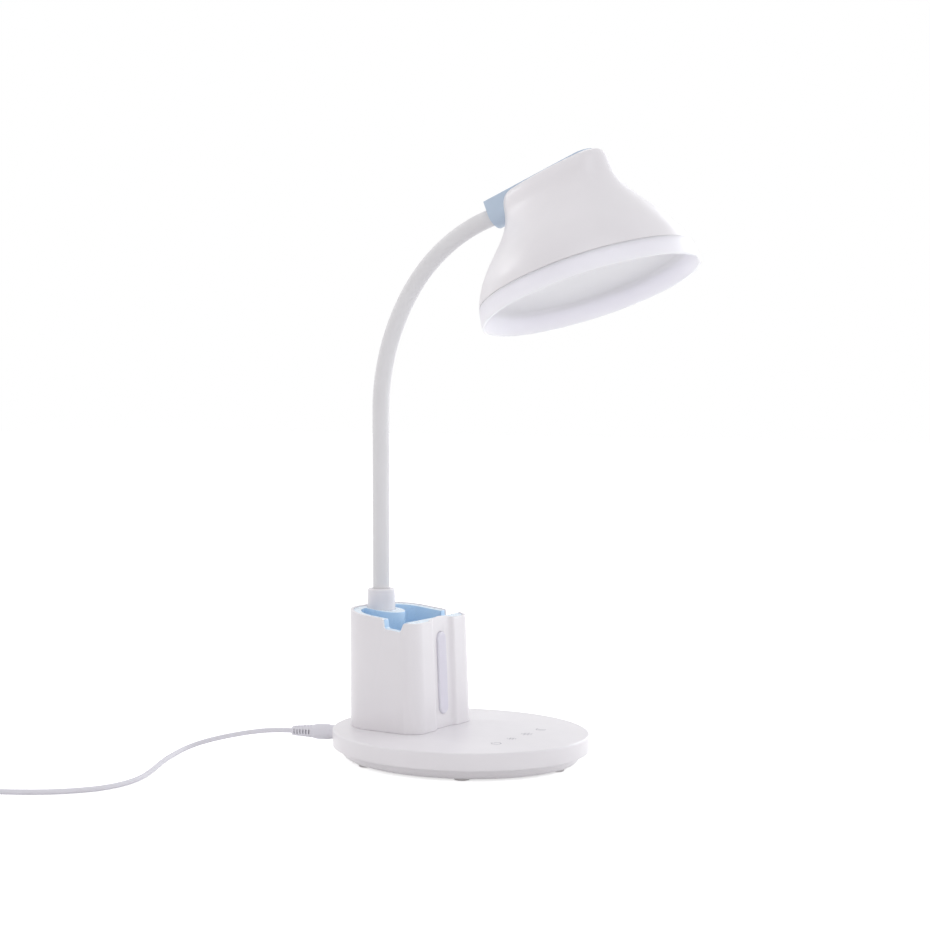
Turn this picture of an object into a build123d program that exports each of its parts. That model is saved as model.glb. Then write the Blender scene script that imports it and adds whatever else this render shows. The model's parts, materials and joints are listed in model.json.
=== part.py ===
from build123d import *
import math
import os

# LED table lamp: an oval base with a pen holder on its back half, a flexible neck
# that arches forwards, and a wide shade head with a recessed diffuser.
# Millimetres, +Z up, front towards -Y, origin on the table under the middle of the base.

# Clearances and shared values
overrun = 1.0
seat_gap = 0.1
running_gap = 0.3
screw_radius = 1.5
screw_head_radius = 2.8
screw_head_height = 2.0
screw_slot_width = 0.8
screw_slot_depth = 0.9
post_radius = 3.6
board_thickness = 1.6

# Base
base_length = 173.4
base_width = 152.4
base_height = 19.0
base_wall = 2.4
base_top_thickness = 2.4
base_edge_radius = 1.4
base_shell_height = 11.0
cover_inset = 6.0
cover_wall = 2.2
cover_bottom_radius = 4.4
cover_flange_height = 2.0
foot_height = 1.1
foot_seat_depth = 0.8
foot_radius = 5.0
edge_foot_count = 6
foot_edge_inset = 8.0
post_spacing_x = 104.0
post_spacing_y = 40.0
screw_sink_depth = 2.2
boss_height = 2.2
ballast_front_inset = 26.7
ballast_rear_inset = 70.7
ballast_width = 84.0
ballast_thickness = 4.0
ballast_corner_radius = 10.0
cable_hole_radius = 4.0

# Touch controls under the front of the base
touch_row_inset = 41.7
touch_key_count = 4
touch_key_pitch = 18.5
touch_pad_radius = 4.5
touch_pad_height = 1.8
touch_board_margin = 7.0
touch_board_depth = 18.0
touch_chip_size = 5.0
touch_chip_height = 1.0
touch_chip_offset = 9.0

# Power inlet at the back left of the base, and the driver board that carries it
jack_turn = 20.1
jack_height = 13.0
jack_width = 9.0
jack_depth = 16.0
jack_above = 3.5
jack_below = 4.2
jack_bore_radius = 3.2
jack_bore_depth = 10.0
jack_pin_radius = 1.0
jack_pin_length = 9.0
driver_board_start = 12.6
driver_board_length = 40.0
driver_board_width = 44.0
driver_coil_radius = 4.0
driver_coil_height = 4.5
driver_chip_size = 6.0
driver_chip_height = 1.5
driver_part_spacing = 12.0

# Pen holder
holder_width = 70.0
holder_depth = 65.0
holder_edge_inset = 11.7
holder_front_lean = 2.5
holder_front_height = 70.6
rim_slope = 6.0
holder_wall = 2.2
holder_front_radius = 11.0
holder_rear_radius = 25.0
groove_half_width = 8.5
groove_run = 5.0
groove_depth = 2.5
liner_wall = 2.0
liner_rim_width = 5.0
liner_band_height = 14.0
liner_drop = 0.5
liner_front_extra = 2.6
pocket_front_radius = 4.5
liner_floor_thickness = 2.0
pillar_half_width = 10.5
pillar_reach = 17.2
pillar_wall = 1.6
pillar_top_thickness = 6.0
left_notch_start = 11.0
left_notch_width = 16.5
right_notch_start = 13.1
right_notch_width = 10.4
notch_depth = 6.4
rim_wave_half_width = 19.0
rim_wave_height = 2.0
notch_corner_share = 0.1
notch_narrowing_share = 0.11
notch_lip_rise = 0.05
holder_post_height = 10.0
holder_post_spread = 44.0
holder_post_front_inset = 10.5
holder_post_rear_inset = 14.0

# Night light in the groove
strip_width = 10.0
strip_length = 54.0
strip_bottom = 9.0
strip_proud = 1.4
strip_edge_radius = 1.2
strip_flange = 1.2
strip_flange_thickness = 0.8
strip_board_width = 8.0
strip_board_thickness = 1.0
strip_led_count = 5
strip_led_size = 2.8
strip_led_height = 0.7

# Neck
neck_rear_inset = 12.3
neck_radius = 5.6
sleeve_wall = 1.3
core_radius = 4.1
core_bore_radius = 1.8
cable_radius = 1.5
cable_entry_run = 14.0
cable_drop_depth = 3.0
cable_drop_height = 62.0
collar_height = 11.0
collar_bottom_radius = 9.4
collar_top_radius = 9.1
collar_edge_radius = 1.2
collar_seat_depth = 2.1
sleeve_socket = 3.0
spigot_radius = 5.0
nut_radius = 7.3
nut_thickness = 3.0
nut_sides = 6
straight_length = 119.9
first_bend_radius = 139.5
first_bend_turn = 34.0
second_bend_radius = 115.4
second_bend_turn = 39.9
neck_socket_run = 5.5
knuckle_places = (45.0, 110.0, 175.0, 240.0)
knuckle_radius = 3.3
knuckle_stem_radius = 2.7
knuckle_stem_length = 3.2

# Head, in its own frame: origin at the middle of the rim, +Z along the shade's axis, front -Y
head_reach = 1.94
head_lift = 0.38
head_lean = 19.9
head_height = 83.6
rim_radius = 70.6
crown_half_length = 37.8
crown_half_width = 17.0
crown_tilt = 1.9
rim_corner_turn = 45.0
crown_corner_turn = 80.0
head_wall = 2.6
crown_thickness = 4.6
skirt_height = 12.0
# Each row: height as a share of the head's height, then how far the half length and
# the half width stand out from the crown's, as shares of the way to the rim's
profile_shares = (
    (0.142, 0.958, 0.978),
    (0.250, 0.850, 0.914),
    (0.369, 0.680, 0.784),
    (0.488, 0.472, 0.588),
    (0.607, 0.255, 0.368),
    (0.726, 0.094, 0.172),
    (0.845, 0.030, 0.035),
    (0.929, 0.000, -0.015),
    (0.980, -0.070, -0.070),
    (1.000, -0.195, -0.130),
)
bracket_half_width = 9.0
bracket_side_depth = 9.0
bracket_rear = 48.5
bracket_front = 31.3
bracket_inner = 30.0
bracket_proud = 0.8
plate_thickness = 2.2
bracket_post_radius = 2.4
bracket_screw_radius = 1.0
bracket_screw_length = 3.2
bracket_screw_head_radius = 3.2
bracket_screw_head_height = 1.2
head_nut_thickness = 2.6
head_nut_radius = 6.2
head_nut_gap = 2.9

# Light unit in the head
diffuser_rim_wall = 1.6
diffuser_plate_radius = 62.5
diffuser_plate_height = 12.4
diffuser_plate_thickness = 1.8
diffuser_fillet_radius = 6.0
diffuser_lip_height = 4.0
diffuser_lip_wall = 1.6
skirt_belly_share = 0.28
ledge_height = 27.0
ledge_thickness = 2.2
ledge_inner_radius = 50.0
carrier_thickness = 2.0
carrier_edge_gap = 0.8
led_board_radius = 48.0
led_ring_radii = (20.0, 38.0)
led_ring_counts = (8, 16)
led_size = 3.0
led_height = 0.8
head_screw_ring_radius = 54.0
head_screw_count = 4
board_screw_ring_radius = 29.0
board_screw_count = 3
board_hole_radius = 3.0

# Power lead
lead_radius = 1.65
plug_base_radius = 4.65
plug_grip_radius = 5.0
plug_grip_start = 6.0
plug_grip_end = 13.7
plug_cone_end = 17.2
plug_seat_depth = 1.0
plug_barrel_radius = 2.75
plug_barrel_bore = 1.3
plug_barrel_length = 9.5
relief_radius = 3.5
relief_tip_radius = 2.9
relief_core_radius = 2.3
relief_length = 12.6
relief_ring_count = 6
relief_ring_share = 0.62
coil_outer_radius = 26.3
coil_step = 3.75
coil_turns = 7.25
coil_climb_turns = 0.5
coil_centre = (-237.3, 220.6)
coil_start_bearing = 212.8
tie_width = 6.0
tie_thickness = 0.7
tie_turn = 60.0
tie_slack = 0.5
lead_corner_share = 0.45
lead_exit_run = 14.0
lead_join_run = 20.0
tail_run = 12.0
tail_turn = 14.0
tail_steps = 3
usb_grip_length = 22.0
usb_grip_width = 15.6
usb_grip_height = 8.0
usb_edge_radius = 1.6
usb_shell_length = 14.0
usb_shell_width = 12.0
usb_shell_height = 4.5
usb_shell_wall = 0.4
usb_tongue_height = 1.8

# The lead's way over the table, from the strain relief to the coil, chosen by hand
lead_points = (
    (-49.5, 135.9, 11.0),
    (-57.1, 150.0, 8.0),
    (-66.2, 160.8, 5.0),
    (-78.1, 165.2, 2.6),
    (-94.6, 161.5, 1.65),
    (-115.2, 153.0, 1.65),
    (-139.9, 139.5, 1.65),
    (-167.2, 126.6, 1.65),
    (-194.2, 125.9, 1.65),
    (-216.4, 140.1, 1.65),
    (-232.7, 161.7, 1.65),
)

# Worked-out levels and places
half_length = base_length / 2
half_width = base_width / 2
holder_rear = half_length - holder_edge_inset
holder_front = holder_rear - holder_depth
neck_place = holder_rear - neck_rear_inset
pillar_front = neck_place - pillar_reach
touch_row_offset = touch_row_inset - half_length
shell_low = base_height - base_shell_height
base_ceiling = base_height - base_top_thickness
cover_floor = foot_height + cover_wall
lean_ratio = math.tan(math.radians(holder_front_lean))
rim_ratio = math.tan(math.radians(rim_slope))
groove_turn = 2 * math.degrees(math.atan(groove_depth / groove_run))
groove_radius = groove_run / (2 * math.sin(math.radians(groove_turn)))
holder_top = base_height + holder_front_height + (holder_rear - holder_front) * rim_ratio
liner_bottom = base_height + holder_post_height + seat_gap
liner_inset = holder_wall + seat_gap
pocket_inset = holder_wall + liner_rim_width
collar_foot = base_height + holder_front_height + (neck_place - holder_front) * rim_ratio
collar_seat = collar_foot - collar_seat_depth
collar_top = collar_foot + collar_height
sleeve_start = collar_top - sleeve_socket
sleeve_bore_radius = neck_radius - sleeve_wall
cover_boss_top = cover_floor + boss_height
strip_lens_depth = holder_wall + strip_flange_thickness
strip_leds_depth = strip_lens_depth + strip_led_height + seat_gap
strip_board_depth = strip_leds_depth + strip_board_thickness
coil_low = lead_radius + tie_thickness + seat_gap

BOTTOM = (Align.CENTER, Align.CENTER, Align.MIN)
TOP = (Align.CENTER, Align.CENTER, Align.MAX)


def post(x, y, low, radius, height):
    """A round post that stands on the level low."""
    return Pos(x, y, low) * Cylinder(radius, height, align=BOTTOM)


def oval_block(inset, low, high):
    """The base's oval, drawn in by inset, between two levels."""
    oval = Ellipse(half_width - inset, half_length - inset)
    return Pos(0, 0, low) * extrude(oval, high - low)


def screw(length):
    """A pan-head screw that points up, with its head's upper side at zero."""
    body = Cylinder(screw_radius, length, align=BOTTOM)
    body += Cylinder(screw_head_radius, screw_head_height, align=TOP)
    for turn in (0, 90):
        slot = Box(2 * screw_radius, screw_slot_width, screw_slot_depth, align=BOTTOM)
        body -= Pos(0, 0, -screw_head_height) * Rot(0, 0, turn) * slot
    return body


def spread(shape, places):
    """Copies of one shape at several places, as separate solids in one group."""
    return Compound(children=[Pos(*place) * shape for place in places])


def corner_places(width, front, rear, level):
    """Four places on a rectangle at one level."""
    return [(side * width / 2, y, level) for side in (-1, 1) for y in (front, rear)]


# Base
def base_post_places(level):
    return corner_places(post_spacing_x, -post_spacing_y / 2, post_spacing_y / 2, level)


def holder_post_places(level):
    front = holder_front + holder_post_front_inset
    return corner_places(holder_post_spread, front, holder_rear - holder_post_rear_inset, level)


def jack_frame():
    """The power inlet's frame: origin on the base's wall, +Z straight out of it, +Y up."""
    turn = math.radians(jack_turn)
    x = -half_width * math.sin(turn)
    y = half_length * math.cos(turn)
    outwards = Vector(x / half_width**2, y / half_length**2, 0).normalized()
    return Plane(origin=(x, y, jack_height), x_dir=(-outwards.Y, outwards.X, 0), z_dir=outwards)


def driver_frame():
    """The driver board's frame: origin at the wall under the inlet, +Y straight out."""
    inlet = jack_frame()
    level = jack_height - jack_below
    return Plane(origin=(inlet.origin.X, inlet.origin.Y, level), x_dir=-inlet.x_dir, z_dir=(0, 0, 1))


def inlet_slab(width, low, high, inner, outer):
    """A box at the inlet between two depths behind the wall and two levels."""
    box = Box(width, outer - inner, high - low, align=(Align.CENTER, Align.MAX, Align.MIN))
    level = jack_height - jack_below
    return driver_frame() * Pos(0, -inner, low - level) * box


def base_top_shell():
    shell = oval_block(0, shell_low, base_height)
    shell = fillet(shell.edges().group_by(Axis.Z)[-1], base_edge_radius)
    shell -= oval_block(base_wall, shell_low - overrun, base_ceiling)
    for x, y, level in base_post_places(cover_boss_top):
        shell += post(x, y, level + seat_gap, post_radius, base_ceiling - level)
        shell -= post(x, y, level, screw_radius, base_ceiling - level - base_top_thickness)
    for x, y, level in holder_post_places(base_ceiling):
        shell -= post(x, y, level - overrun, screw_radius + seat_gap, base_top_thickness + 2 * overrun)
    for side in (-1, 1):
        x = side * touch_board_width() / 2 - side * post_radius
        pad_low = base_ceiling - touch_pad_height
        shell += post(x, touch_row_offset, pad_low, screw_head_radius, touch_pad_height + overrun)
        shell -= post(x, touch_row_offset, pad_low - overrun, screw_radius, touch_pad_height + 2 * overrun)
    hole_low = base_ceiling - overrun
    shell -= post(0, neck_place, hole_low, cable_hole_radius, base_top_thickness + 2 * overrun)
    inlet = jack_frame()
    shell -= inlet * Cylinder(jack_bore_radius, 2 * (base_wall + overrun))
    seat = Cylinder(plug_base_radius + seat_gap, plug_seat_depth + overrun, align=BOTTOM)
    shell -= inlet * Pos(0, 0, -plug_seat_depth) * seat
    return shell


def base_bottom_cover():
    dish = oval_block(cover_inset, foot_height, shell_low + cover_flange_height)
    dish = fillet(dish.edges().group_by(Axis.Z)[0], cover_bottom_radius)
    dish += oval_block(base_wall + seat_gap, shell_low, shell_low + cover_flange_height)
    dish -= oval_block(cover_inset + cover_wall, cover_floor, base_height)
    for x, y, level in base_post_places(foot_height):
        dish += post(x, y, cover_floor, screw_head_radius + cover_wall, boss_height)
        dish -= post(x, y, level - overrun, screw_radius + seat_gap, base_height)
        dish -= post(x, y, level - overrun, screw_head_radius + running_gap, overrun + screw_sink_depth)
    for x, y in foot_places():
        dish -= post(x, y, foot_height - overrun, foot_radius + seat_gap, overrun + foot_seat_depth)
    notch_low = jack_height - jack_below - seat_gap
    dish -= inlet_slab(jack_width + 2 * running_gap, notch_low, base_height, 0, driver_board_start)
    for x, y, level in driver_post_places():
        dish += post(x, y, cover_floor - overrun, screw_head_radius, level - cover_floor + overrun)
        dish -= post(x, y, cover_floor, screw_radius, level - cover_floor + overrun)
    return dish


def foot_places():
    """One foot in the middle, and the others evenly round the cover's edge from the front."""
    inset = cover_inset + foot_edge_inset
    places = [(0, 0)]
    for number in range(edge_foot_count):
        turn = 2 * math.pi * number / edge_foot_count
        places.append(((half_width - inset) * math.sin(turn), -(half_length - inset) * math.cos(turn)))
    return places


def rubber_feet():
    height = foot_height + foot_seat_depth
    foot = Cylinder(foot_radius, height, align=BOTTOM)
    foot = fillet(foot.edges().group_by(Axis.Z)[0], foot_height / 2)
    return spread(foot, [(x, y, 0) for x, y in foot_places()])


def ballast_plate():
    length = base_length - ballast_front_inset - ballast_rear_inset
    plate = Rectangle(ballast_width, length)
    plate = fillet(plate.vertices(), ballast_corner_radius)
    middle = (ballast_front_inset - ballast_rear_inset) / 2
    return Pos(0, middle, cover_floor) * extrude(plate, ballast_thickness)


def base_screws():
    head_seat = foot_height + screw_sink_depth
    length = base_ceiling - base_top_thickness - head_seat
    return spread(screw(length), base_post_places(head_seat))


def touch_board_width():
    return touch_key_pitch * (touch_key_count - 1) + 2 * (touch_pad_radius + touch_board_margin)


def touch_key_places(level):
    first = -touch_key_pitch * (touch_key_count - 1) / 2
    return [(first + touch_key_pitch * key, touch_row_offset, level) for key in range(touch_key_count)]


def touch_board():
    top = base_ceiling - touch_pad_height
    board = Box(touch_board_width(), touch_board_depth, board_thickness, align=TOP)
    board = Pos(0, touch_row_offset, top) * board
    chip = Box(touch_chip_size, touch_chip_size, touch_chip_height, align=TOP)
    for side in (-1, 1):
        x = side * touch_chip_offset
        board += Pos(x, touch_row_offset, top - board_thickness) * chip
        edge = side * (touch_board_width() / 2 - post_radius)
        low = top - 2 * board_thickness
        board -= post(edge, touch_row_offset, low, screw_radius + seat_gap, 3 * board_thickness)
    return board


def touch_pads():
    pad = Cylinder(touch_pad_radius, touch_pad_height, align=BOTTOM)
    return spread(pad, touch_key_places(base_ceiling - touch_pad_height))


def driver_post_places():
    """Where the driver board is screwed to the cover: two posts at its inner corners."""
    frame = driver_frame()
    depth = driver_board_start + driver_board_length - post_radius
    side = driver_board_width / 2 - post_radius
    low = jack_height - jack_below - board_thickness
    places = [frame.from_local_coords((x, -depth, 0)) for x in (-side, side)]
    return [(place.X, place.Y, low) for place in places]


def driver_board():
    top = jack_height - jack_below
    far = driver_board_start + driver_board_length
    board = inlet_slab(driver_board_width, top - board_thickness, top, driver_board_start, far)
    frame = driver_frame()
    coil = Cylinder(driver_coil_radius, driver_coil_height, align=BOTTOM)
    chip = Box(driver_chip_size, driver_chip_size, driver_chip_height, align=BOTTOM)
    rows = far - driver_part_spacing
    board += frame * Pos(-driver_part_spacing, -rows, 0) * coil
    board += frame * Pos(0, -rows, 0) * chip
    board += frame * Pos(driver_part_spacing / 2, -rows + driver_part_spacing, 0) * chip
    board += frame * Pos(-driver_part_spacing / 2, -rows + driver_part_spacing, 0) * coil
    for x, y, level in driver_post_places():
        board -= post(x, y, level - overrun, screw_radius + seat_gap, board_thickness + 2 * overrun)
    return board


def board_screws():
    """Two screws hold the touch board from below and two hold the driver board from above."""
    length = board_thickness + touch_pad_height - seat_gap
    edge = touch_board_width() / 2 - post_radius
    low = base_ceiling - touch_pad_height - board_thickness
    places = [(side * edge, touch_row_offset, low) for side in (-1, 1)]
    upwards = spread(screw(length), places)
    down = Rot(180, 0, 0) * screw(board_thickness + screw_head_height)
    downwards = spread(down, [(x, y, z + board_thickness) for x, y, z in driver_post_places()])
    return Compound(children=list(upwards.children) + list(downwards.children))


def dc_jack():
    start = base_wall + running_gap
    body = Box(jack_width, jack_above + jack_below, jack_depth - start, align=TOP)
    shift = (jack_above - jack_below) / 2
    body = Pos(0, shift, -start) * body
    bore = Cylinder(jack_bore_radius, jack_bore_depth + overrun, align=TOP)
    body -= Pos(0, 0, overrun - start) * bore
    return jack_frame() * body


def dc_jack_pin():
    pin = Cylinder(jack_pin_radius, jack_pin_length, align=BOTTOM)
    return jack_frame() * Pos(0, 0, -base_wall - running_gap - jack_bore_depth) * pin


# Pen holder
def holder_outline(front, inset):
    """The holder's plan at one level: rounded corners and a soft groove down the front."""
    side = holder_width / 2
    floor = front + groove_depth + inset
    inner_x = groove_half_width
    lobe_x = groove_half_width + groove_run
    curve = Line((0, floor), (inner_x, floor))
    hollow = groove_radius + inset
    crest = groove_radius - inset
    curve += CenterArc((inner_x, floor - hollow), hollow, 90, -groove_turn)
    curve += CenterArc((lobe_x, front + groove_radius), crest, -90 - groove_turn, groove_turn)
    corner_x = side - holder_front_radius
    curve += Line((lobe_x, front + inset), (corner_x, front + inset))
    corner_y = front + holder_front_radius
    curve += CenterArc((corner_x, corner_y), holder_front_radius - inset, -90, 90)
    rear_x = side - holder_rear_radius
    rear_y = holder_rear - holder_rear_radius
    curve += Line((side - inset, corner_y), (side - inset, rear_y))
    curve += CenterArc((rear_x, rear_y), holder_rear_radius - inset, 0, 90)
    curve += Line((rear_x, holder_rear - inset), (0, holder_rear - inset))
    return make_face(curve + mirror(curve, about=Plane.YZ))


def holder_block(inset, low, high):
    """The holder's leaning form, drawn in by inset, between two levels."""
    sections = []
    for level in (low, high):
        front = holder_front + (level - base_height) * lean_ratio
        sections.append(Pos(0, 0, level) * holder_outline(front, inset))
    return loft(sections)


def above_rim(drop):
    """Everything higher than a distance below the holder's sloping rim."""
    size = 2 * base_length
    return rim_frame() * Pos(0, 0, -drop) * Box(size, size, size, align=BOTTOM)


def rim_wave():
    """The low wave in which the front wall's rim rises over the groove."""
    foot = Vector(rim_wave_half_width, 0)
    level = Vector(1, 0)
    path = Spline(-foot, (0, rim_wave_height), foot, tangents=(level, level))
    face = Plane.XZ * make_face(path + Line(foot, -foot))
    reach = groove_depth + 2 * holder_wall
    return rim_frame() * Pos(0, reach, 0) * extrude(face, 2 * reach)


def rim_frame():
    """A frame on the sloping rim: origin at its front, +Y back along it, +Z straight off it."""
    return Pos(0, holder_front, base_height + holder_front_height) * Rot(rim_slope, 0, 0)


def side_notch(side, front, width):
    """A slanted-sided notch with soft corners in one side wall, from a distance along the rim."""
    rear = front + width
    narrowing = notch_narrowing_share * width
    path = FilletPolyline(
        (rear + width / 2, notch_lip_rise),
        (rear, notch_lip_rise),
        (rear - narrowing, -notch_depth),
        (front + narrowing, -notch_depth),
        (front, notch_lip_rise),
        (front - width / 2, notch_lip_rise),
        radius=notch_corner_share * width,
    )
    lift = Vector(0, notch_depth)
    cover = Polyline(path @ 1, path @ 1 + lift, path @ 0 + lift, path @ 0)
    inner = holder_width / 2 - pocket_inset - overrun
    face = Plane.YZ * make_face(path + cover)
    block = extrude(face, holder_width / 2)
    if side < 0:
        block = mirror(block, about=Plane.YZ)
    return rim_frame() * Pos(side * inner, 0, 0) * block


def rim_notches():
    """The left wall's wide notch and the right wall's narrow one."""
    left = side_notch(-1, left_notch_start, left_notch_width)
    return left + side_notch(1, right_notch_start, right_notch_width)


def pillar(inset, low, high):
    """The hollow pillar inside the holder that carries the neck."""
    half = pillar_half_width - inset
    front = pillar_front + inset
    rear = holder_rear - liner_inset - running_gap - inset
    plan = Pos(0, front + half) * Circle(half)
    plan += Pos(0, (front + half + rear) / 2) * Rectangle(2 * half, rear - front - half)
    return Pos(0, 0, low) * extrude(plan, high - low)


def strip_frame(depth):
    """A frame on the groove's leaning floor at the foot of the night light, +Z forwards."""
    level = base_height + strip_bottom
    y = holder_front + groove_depth + strip_bottom * lean_ratio
    lean = math.radians(holder_front_lean)
    outwards = Vector(0, -math.cos(lean), math.sin(lean))
    upwards = Vector(0, math.sin(lean), math.cos(lean))
    origin = Vector(0, y, level) - outwards * depth
    return Plane(origin=origin, x_dir=upwards.cross(outwards), z_dir=outwards)


def strip_slab(margin, depth, thickness):
    """A round-ended slab along the night light, from depth behind the groove's floor."""
    slot = SlotOverall(strip_length + 2 * margin, strip_width + 2 * margin)
    slab = extrude(Pos(0, strip_length / 2) * Rot(0, 0, 90) * slot, thickness)
    return strip_frame(depth) * slab


def board_slab(depth, thickness):
    """A straight slab behind the night light."""
    length = strip_length - strip_width
    slab = Box(strip_board_width, length, thickness, align=BOTTOM)
    return strip_frame(depth) * Pos(0, strip_length / 2, 0) * slab


def holder_shell():
    shell = holder_block(0, base_height, holder_top + overrun)
    shell -= holder_block(holder_wall, base_height - overrun, holder_top + 2 * overrun)
    reach = (holder_width - holder_post_spread) / 2
    web = Box(reach, holder_wall, holder_post_height, align=BOTTOM)
    room = holder_block(holder_wall / 2, base_height, holder_top)
    for x, y, level in holder_post_places(base_height):
        shell += room & (Pos(x + math.copysign(reach / 2, x), y, level) * web)
        shell += post(x, y, level, post_radius, holder_post_height)
        shell -= post(x, y, level - overrun, screw_radius, holder_post_height)
    shell -= above_rim(0) - rim_wave()
    shell -= rim_notches()
    shell -= strip_slab(seat_gap, holder_wall + overrun, holder_wall + 2 * overrun)
    return shell


def pocket_block(grow, low):
    """The room for pens, a plain rounded space inside the rim, made larger by grow."""
    half = holder_width / 2 - pocket_inset + grow
    sections = []
    for level in (low, holder_top + 2 * overrun):
        lean = (level - base_height) * lean_ratio
        front = holder_front + lean + pocket_inset + liner_front_extra - grow
        rear = holder_rear - pocket_inset + grow
        plan = Pos(0, (front + rear) / 2, level) * Rectangle(2 * half, rear - front)
        plan = fillet(plan.vertices().group_by(Axis.Y)[0], pocket_front_radius + grow)
        plan = fillet(plan.vertices().group_by(Axis.Y)[-1], holder_rear_radius - pocket_inset + grow)
        sections.append(plan)
    return loft(sections)


def holder_liner():
    band_low = base_height + holder_front_height - liner_band_height
    high = holder_top + overrun
    liner = holder_block(liner_inset, band_low, high)
    below = Box(base_width, base_length, base_length, align=TOP)
    liner += pocket_block(liner_wall, liner_bottom) & (Pos(0, 0, high) * below)
    liner -= pocket_block(0, liner_bottom + liner_floor_thickness)
    liner += pillar(0, liner_bottom, high)
    liner -= pillar(pillar_wall, liner_bottom - overrun, collar_seat - pillar_top_thickness)
    liner -= post(0, neck_place, collar_seat, collar_bottom_radius + seat_gap, high)
    liner -= post(0, neck_place, liner_bottom, spigot_radius + running_gap, high)
    liner -= above_rim(liner_drop)
    liner -= rim_notches()
    depth = strip_board_depth + seat_gap
    liner -= strip_slab(strip_flange + running_gap, depth, strip_board_depth)
    return liner


def night_light_lens():
    """A round-edged bar that stands out of the groove, with a flange behind the wall."""
    seat = holder_wall + seat_gap
    bar = strip_slab(0, seat, seat + strip_proud)
    outwards = Axis(strip_frame(0).origin, strip_frame(0).z_dir)
    bar = fillet(bar.edges().group_by(outwards)[-1], strip_edge_radius)
    return bar + strip_slab(strip_flange, strip_lens_depth, strip_flange_thickness - seat_gap)


def night_light_board():
    return board_slab(strip_board_depth, strip_board_thickness)


def night_light_leds():
    chip = Box(strip_led_size, strip_led_size, strip_led_height, align=BOTTOM)
    pitch = (strip_length - strip_width) / strip_led_count
    first = (strip_length - pitch * (strip_led_count - 1)) / 2
    frame = strip_frame(strip_leds_depth)
    chips = [frame * Pos(0, first + pitch * number, 0) * chip for number in range(strip_led_count)]
    return Compound(children=chips)


def holder_screws():
    length = base_top_thickness + holder_post_height - screw_head_height
    return spread(screw(length), holder_post_places(base_ceiling))


# Neck
def neck_spot(distance):
    """The point and the direction of the neck's middle line, by its distance above the collar."""
    bends = (
        (first_bend_radius, math.radians(first_bend_turn)),
        (second_bend_radius, math.radians(second_bend_turn)),
    )
    turn = 0.0
    y = neck_place
    z = collar_top + min(distance, straight_length)
    left = distance - straight_length
    for radius, sweep_turn in bends:
        if left <= 0:
            break
        step = min(left / radius, sweep_turn)
        y -= radius * (math.cos(turn) - math.cos(turn + step))
        z += radius * (math.sin(turn + step) - math.sin(turn))
        turn += step
        left -= step * radius
    direction = Vector(0, -math.sin(turn), math.cos(turn))
    point = Vector(0, y, z)
    if left > 0:
        point += direction * left
    return point, direction


def neck_length():
    """The length of the neck's middle line from the collar to the end of its last bend."""
    first_bend = first_bend_radius * math.radians(first_bend_turn)
    second_bend = second_bend_radius * math.radians(second_bend_turn)
    return straight_length + first_bend + second_bend


def core_end():
    """How far along the neck's line its core ends, just past the nut inside the head."""
    block_length = bracket_rear - bracket_inner
    return neck_length() + block_length + head_nut_gap + head_nut_thickness


def neck_line(start, end):
    """The neck's middle line between two distances, as lines and arcs."""
    first_end = straight_length + first_bend_radius * math.radians(first_bend_turn)
    joins = [stop for stop in (straight_length, first_end, neck_length()) if start < stop < end]
    stops = [start] + joins + [end]
    edges = []
    for low, high in zip(stops, stops[1:]):
        middle = (low + high) / 2
        spots = [neck_spot(place)[0] for place in (low, middle, high)]
        straight = middle <= straight_length or middle >= neck_length()
        if straight:
            edges.append(Edge.make_line(spots[0], spots[2]))
        else:
            edges.append(Edge.make_three_point_arc(*spots))
    return Wire(edges)


def neck_rod(radius, start, end):
    """A solid rod along the neck between two distances."""
    point, direction = neck_spot(start)
    section = Plane(origin=point, x_dir=(1, 0, 0), z_dir=direction) * Circle(radius)
    return sweep(section, path=neck_line(start, end))


def neck_frame(distance):
    point, direction = neck_spot(distance)
    return Plane(origin=point, x_dir=(1, 0, 0), z_dir=direction)


def neck_collar():
    height = collar_top - collar_seat
    collar = Cone(collar_bottom_radius, collar_top_radius, height, align=BOTTOM)
    collar = fillet(collar.edges().group_by(Axis.Z)[-1], collar_edge_radius)
    collar = Pos(0, neck_place, collar_seat) * collar
    collar -= post(0, neck_place, collar_seat - overrun, spigot_radius + running_gap, height + 2 * overrun)
    collar -= post(0, neck_place, sleeve_start - running_gap, neck_radius + running_gap, height)
    return collar


def neck_spigot():
    """The threaded foot of the neck, which turns in the pillar's top."""
    low = collar_seat - pillar_top_thickness - running_gap - nut_thickness
    high = sleeve_start - seat_gap
    spigot = post(0, neck_place, low, spigot_radius, high - low)
    return spigot - post(0, neck_place, low - overrun, core_radius + seat_gap, high - low + 2 * overrun)


def neck_nut():
    low = collar_seat - pillar_top_thickness - running_gap - nut_thickness
    nut = extrude(RegularPolygon(nut_radius, nut_sides), nut_thickness)
    nut -= Cylinder(spigot_radius + seat_gap, 2 * nut_thickness + overrun)
    return Pos(0, neck_place, low) * nut


def neck_cores():
    """The stiff lengths inside the neck, each with a ball that the next one's cup turns on."""
    foot = collar_seat - pillar_top_thickness - collar_top
    stops = (foot,) + knuckle_places + (core_end(),)
    cores = []
    for number, (start, end) in enumerate(zip(stops, stops[1:])):
        last = number == len(knuckle_places)
        body_end = end if last else end - knuckle_stem_length
        core = neck_rod(core_radius, start, body_end)
        if number > 0:
            core -= neck_frame(start) * Sphere(knuckle_radius + running_gap)
        if not last:
            core += neck_rod(knuckle_stem_radius, body_end, end)
            core += neck_frame(end) * Sphere(knuckle_radius)
        bore_end = min(end + knuckle_radius + overrun, stops[-1] + overrun)
        core -= neck_rod(core_bore_radius, start - overrun, bore_end)
        cores.append(core)
    return cores


def neck_sleeve():
    end = neck_length() + neck_socket_run - running_gap
    start = sleeve_start - collar_top
    return neck_rod(neck_radius, start, end) - neck_rod(sleeve_bore_radius, start - overrun, end + overrun)


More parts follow.
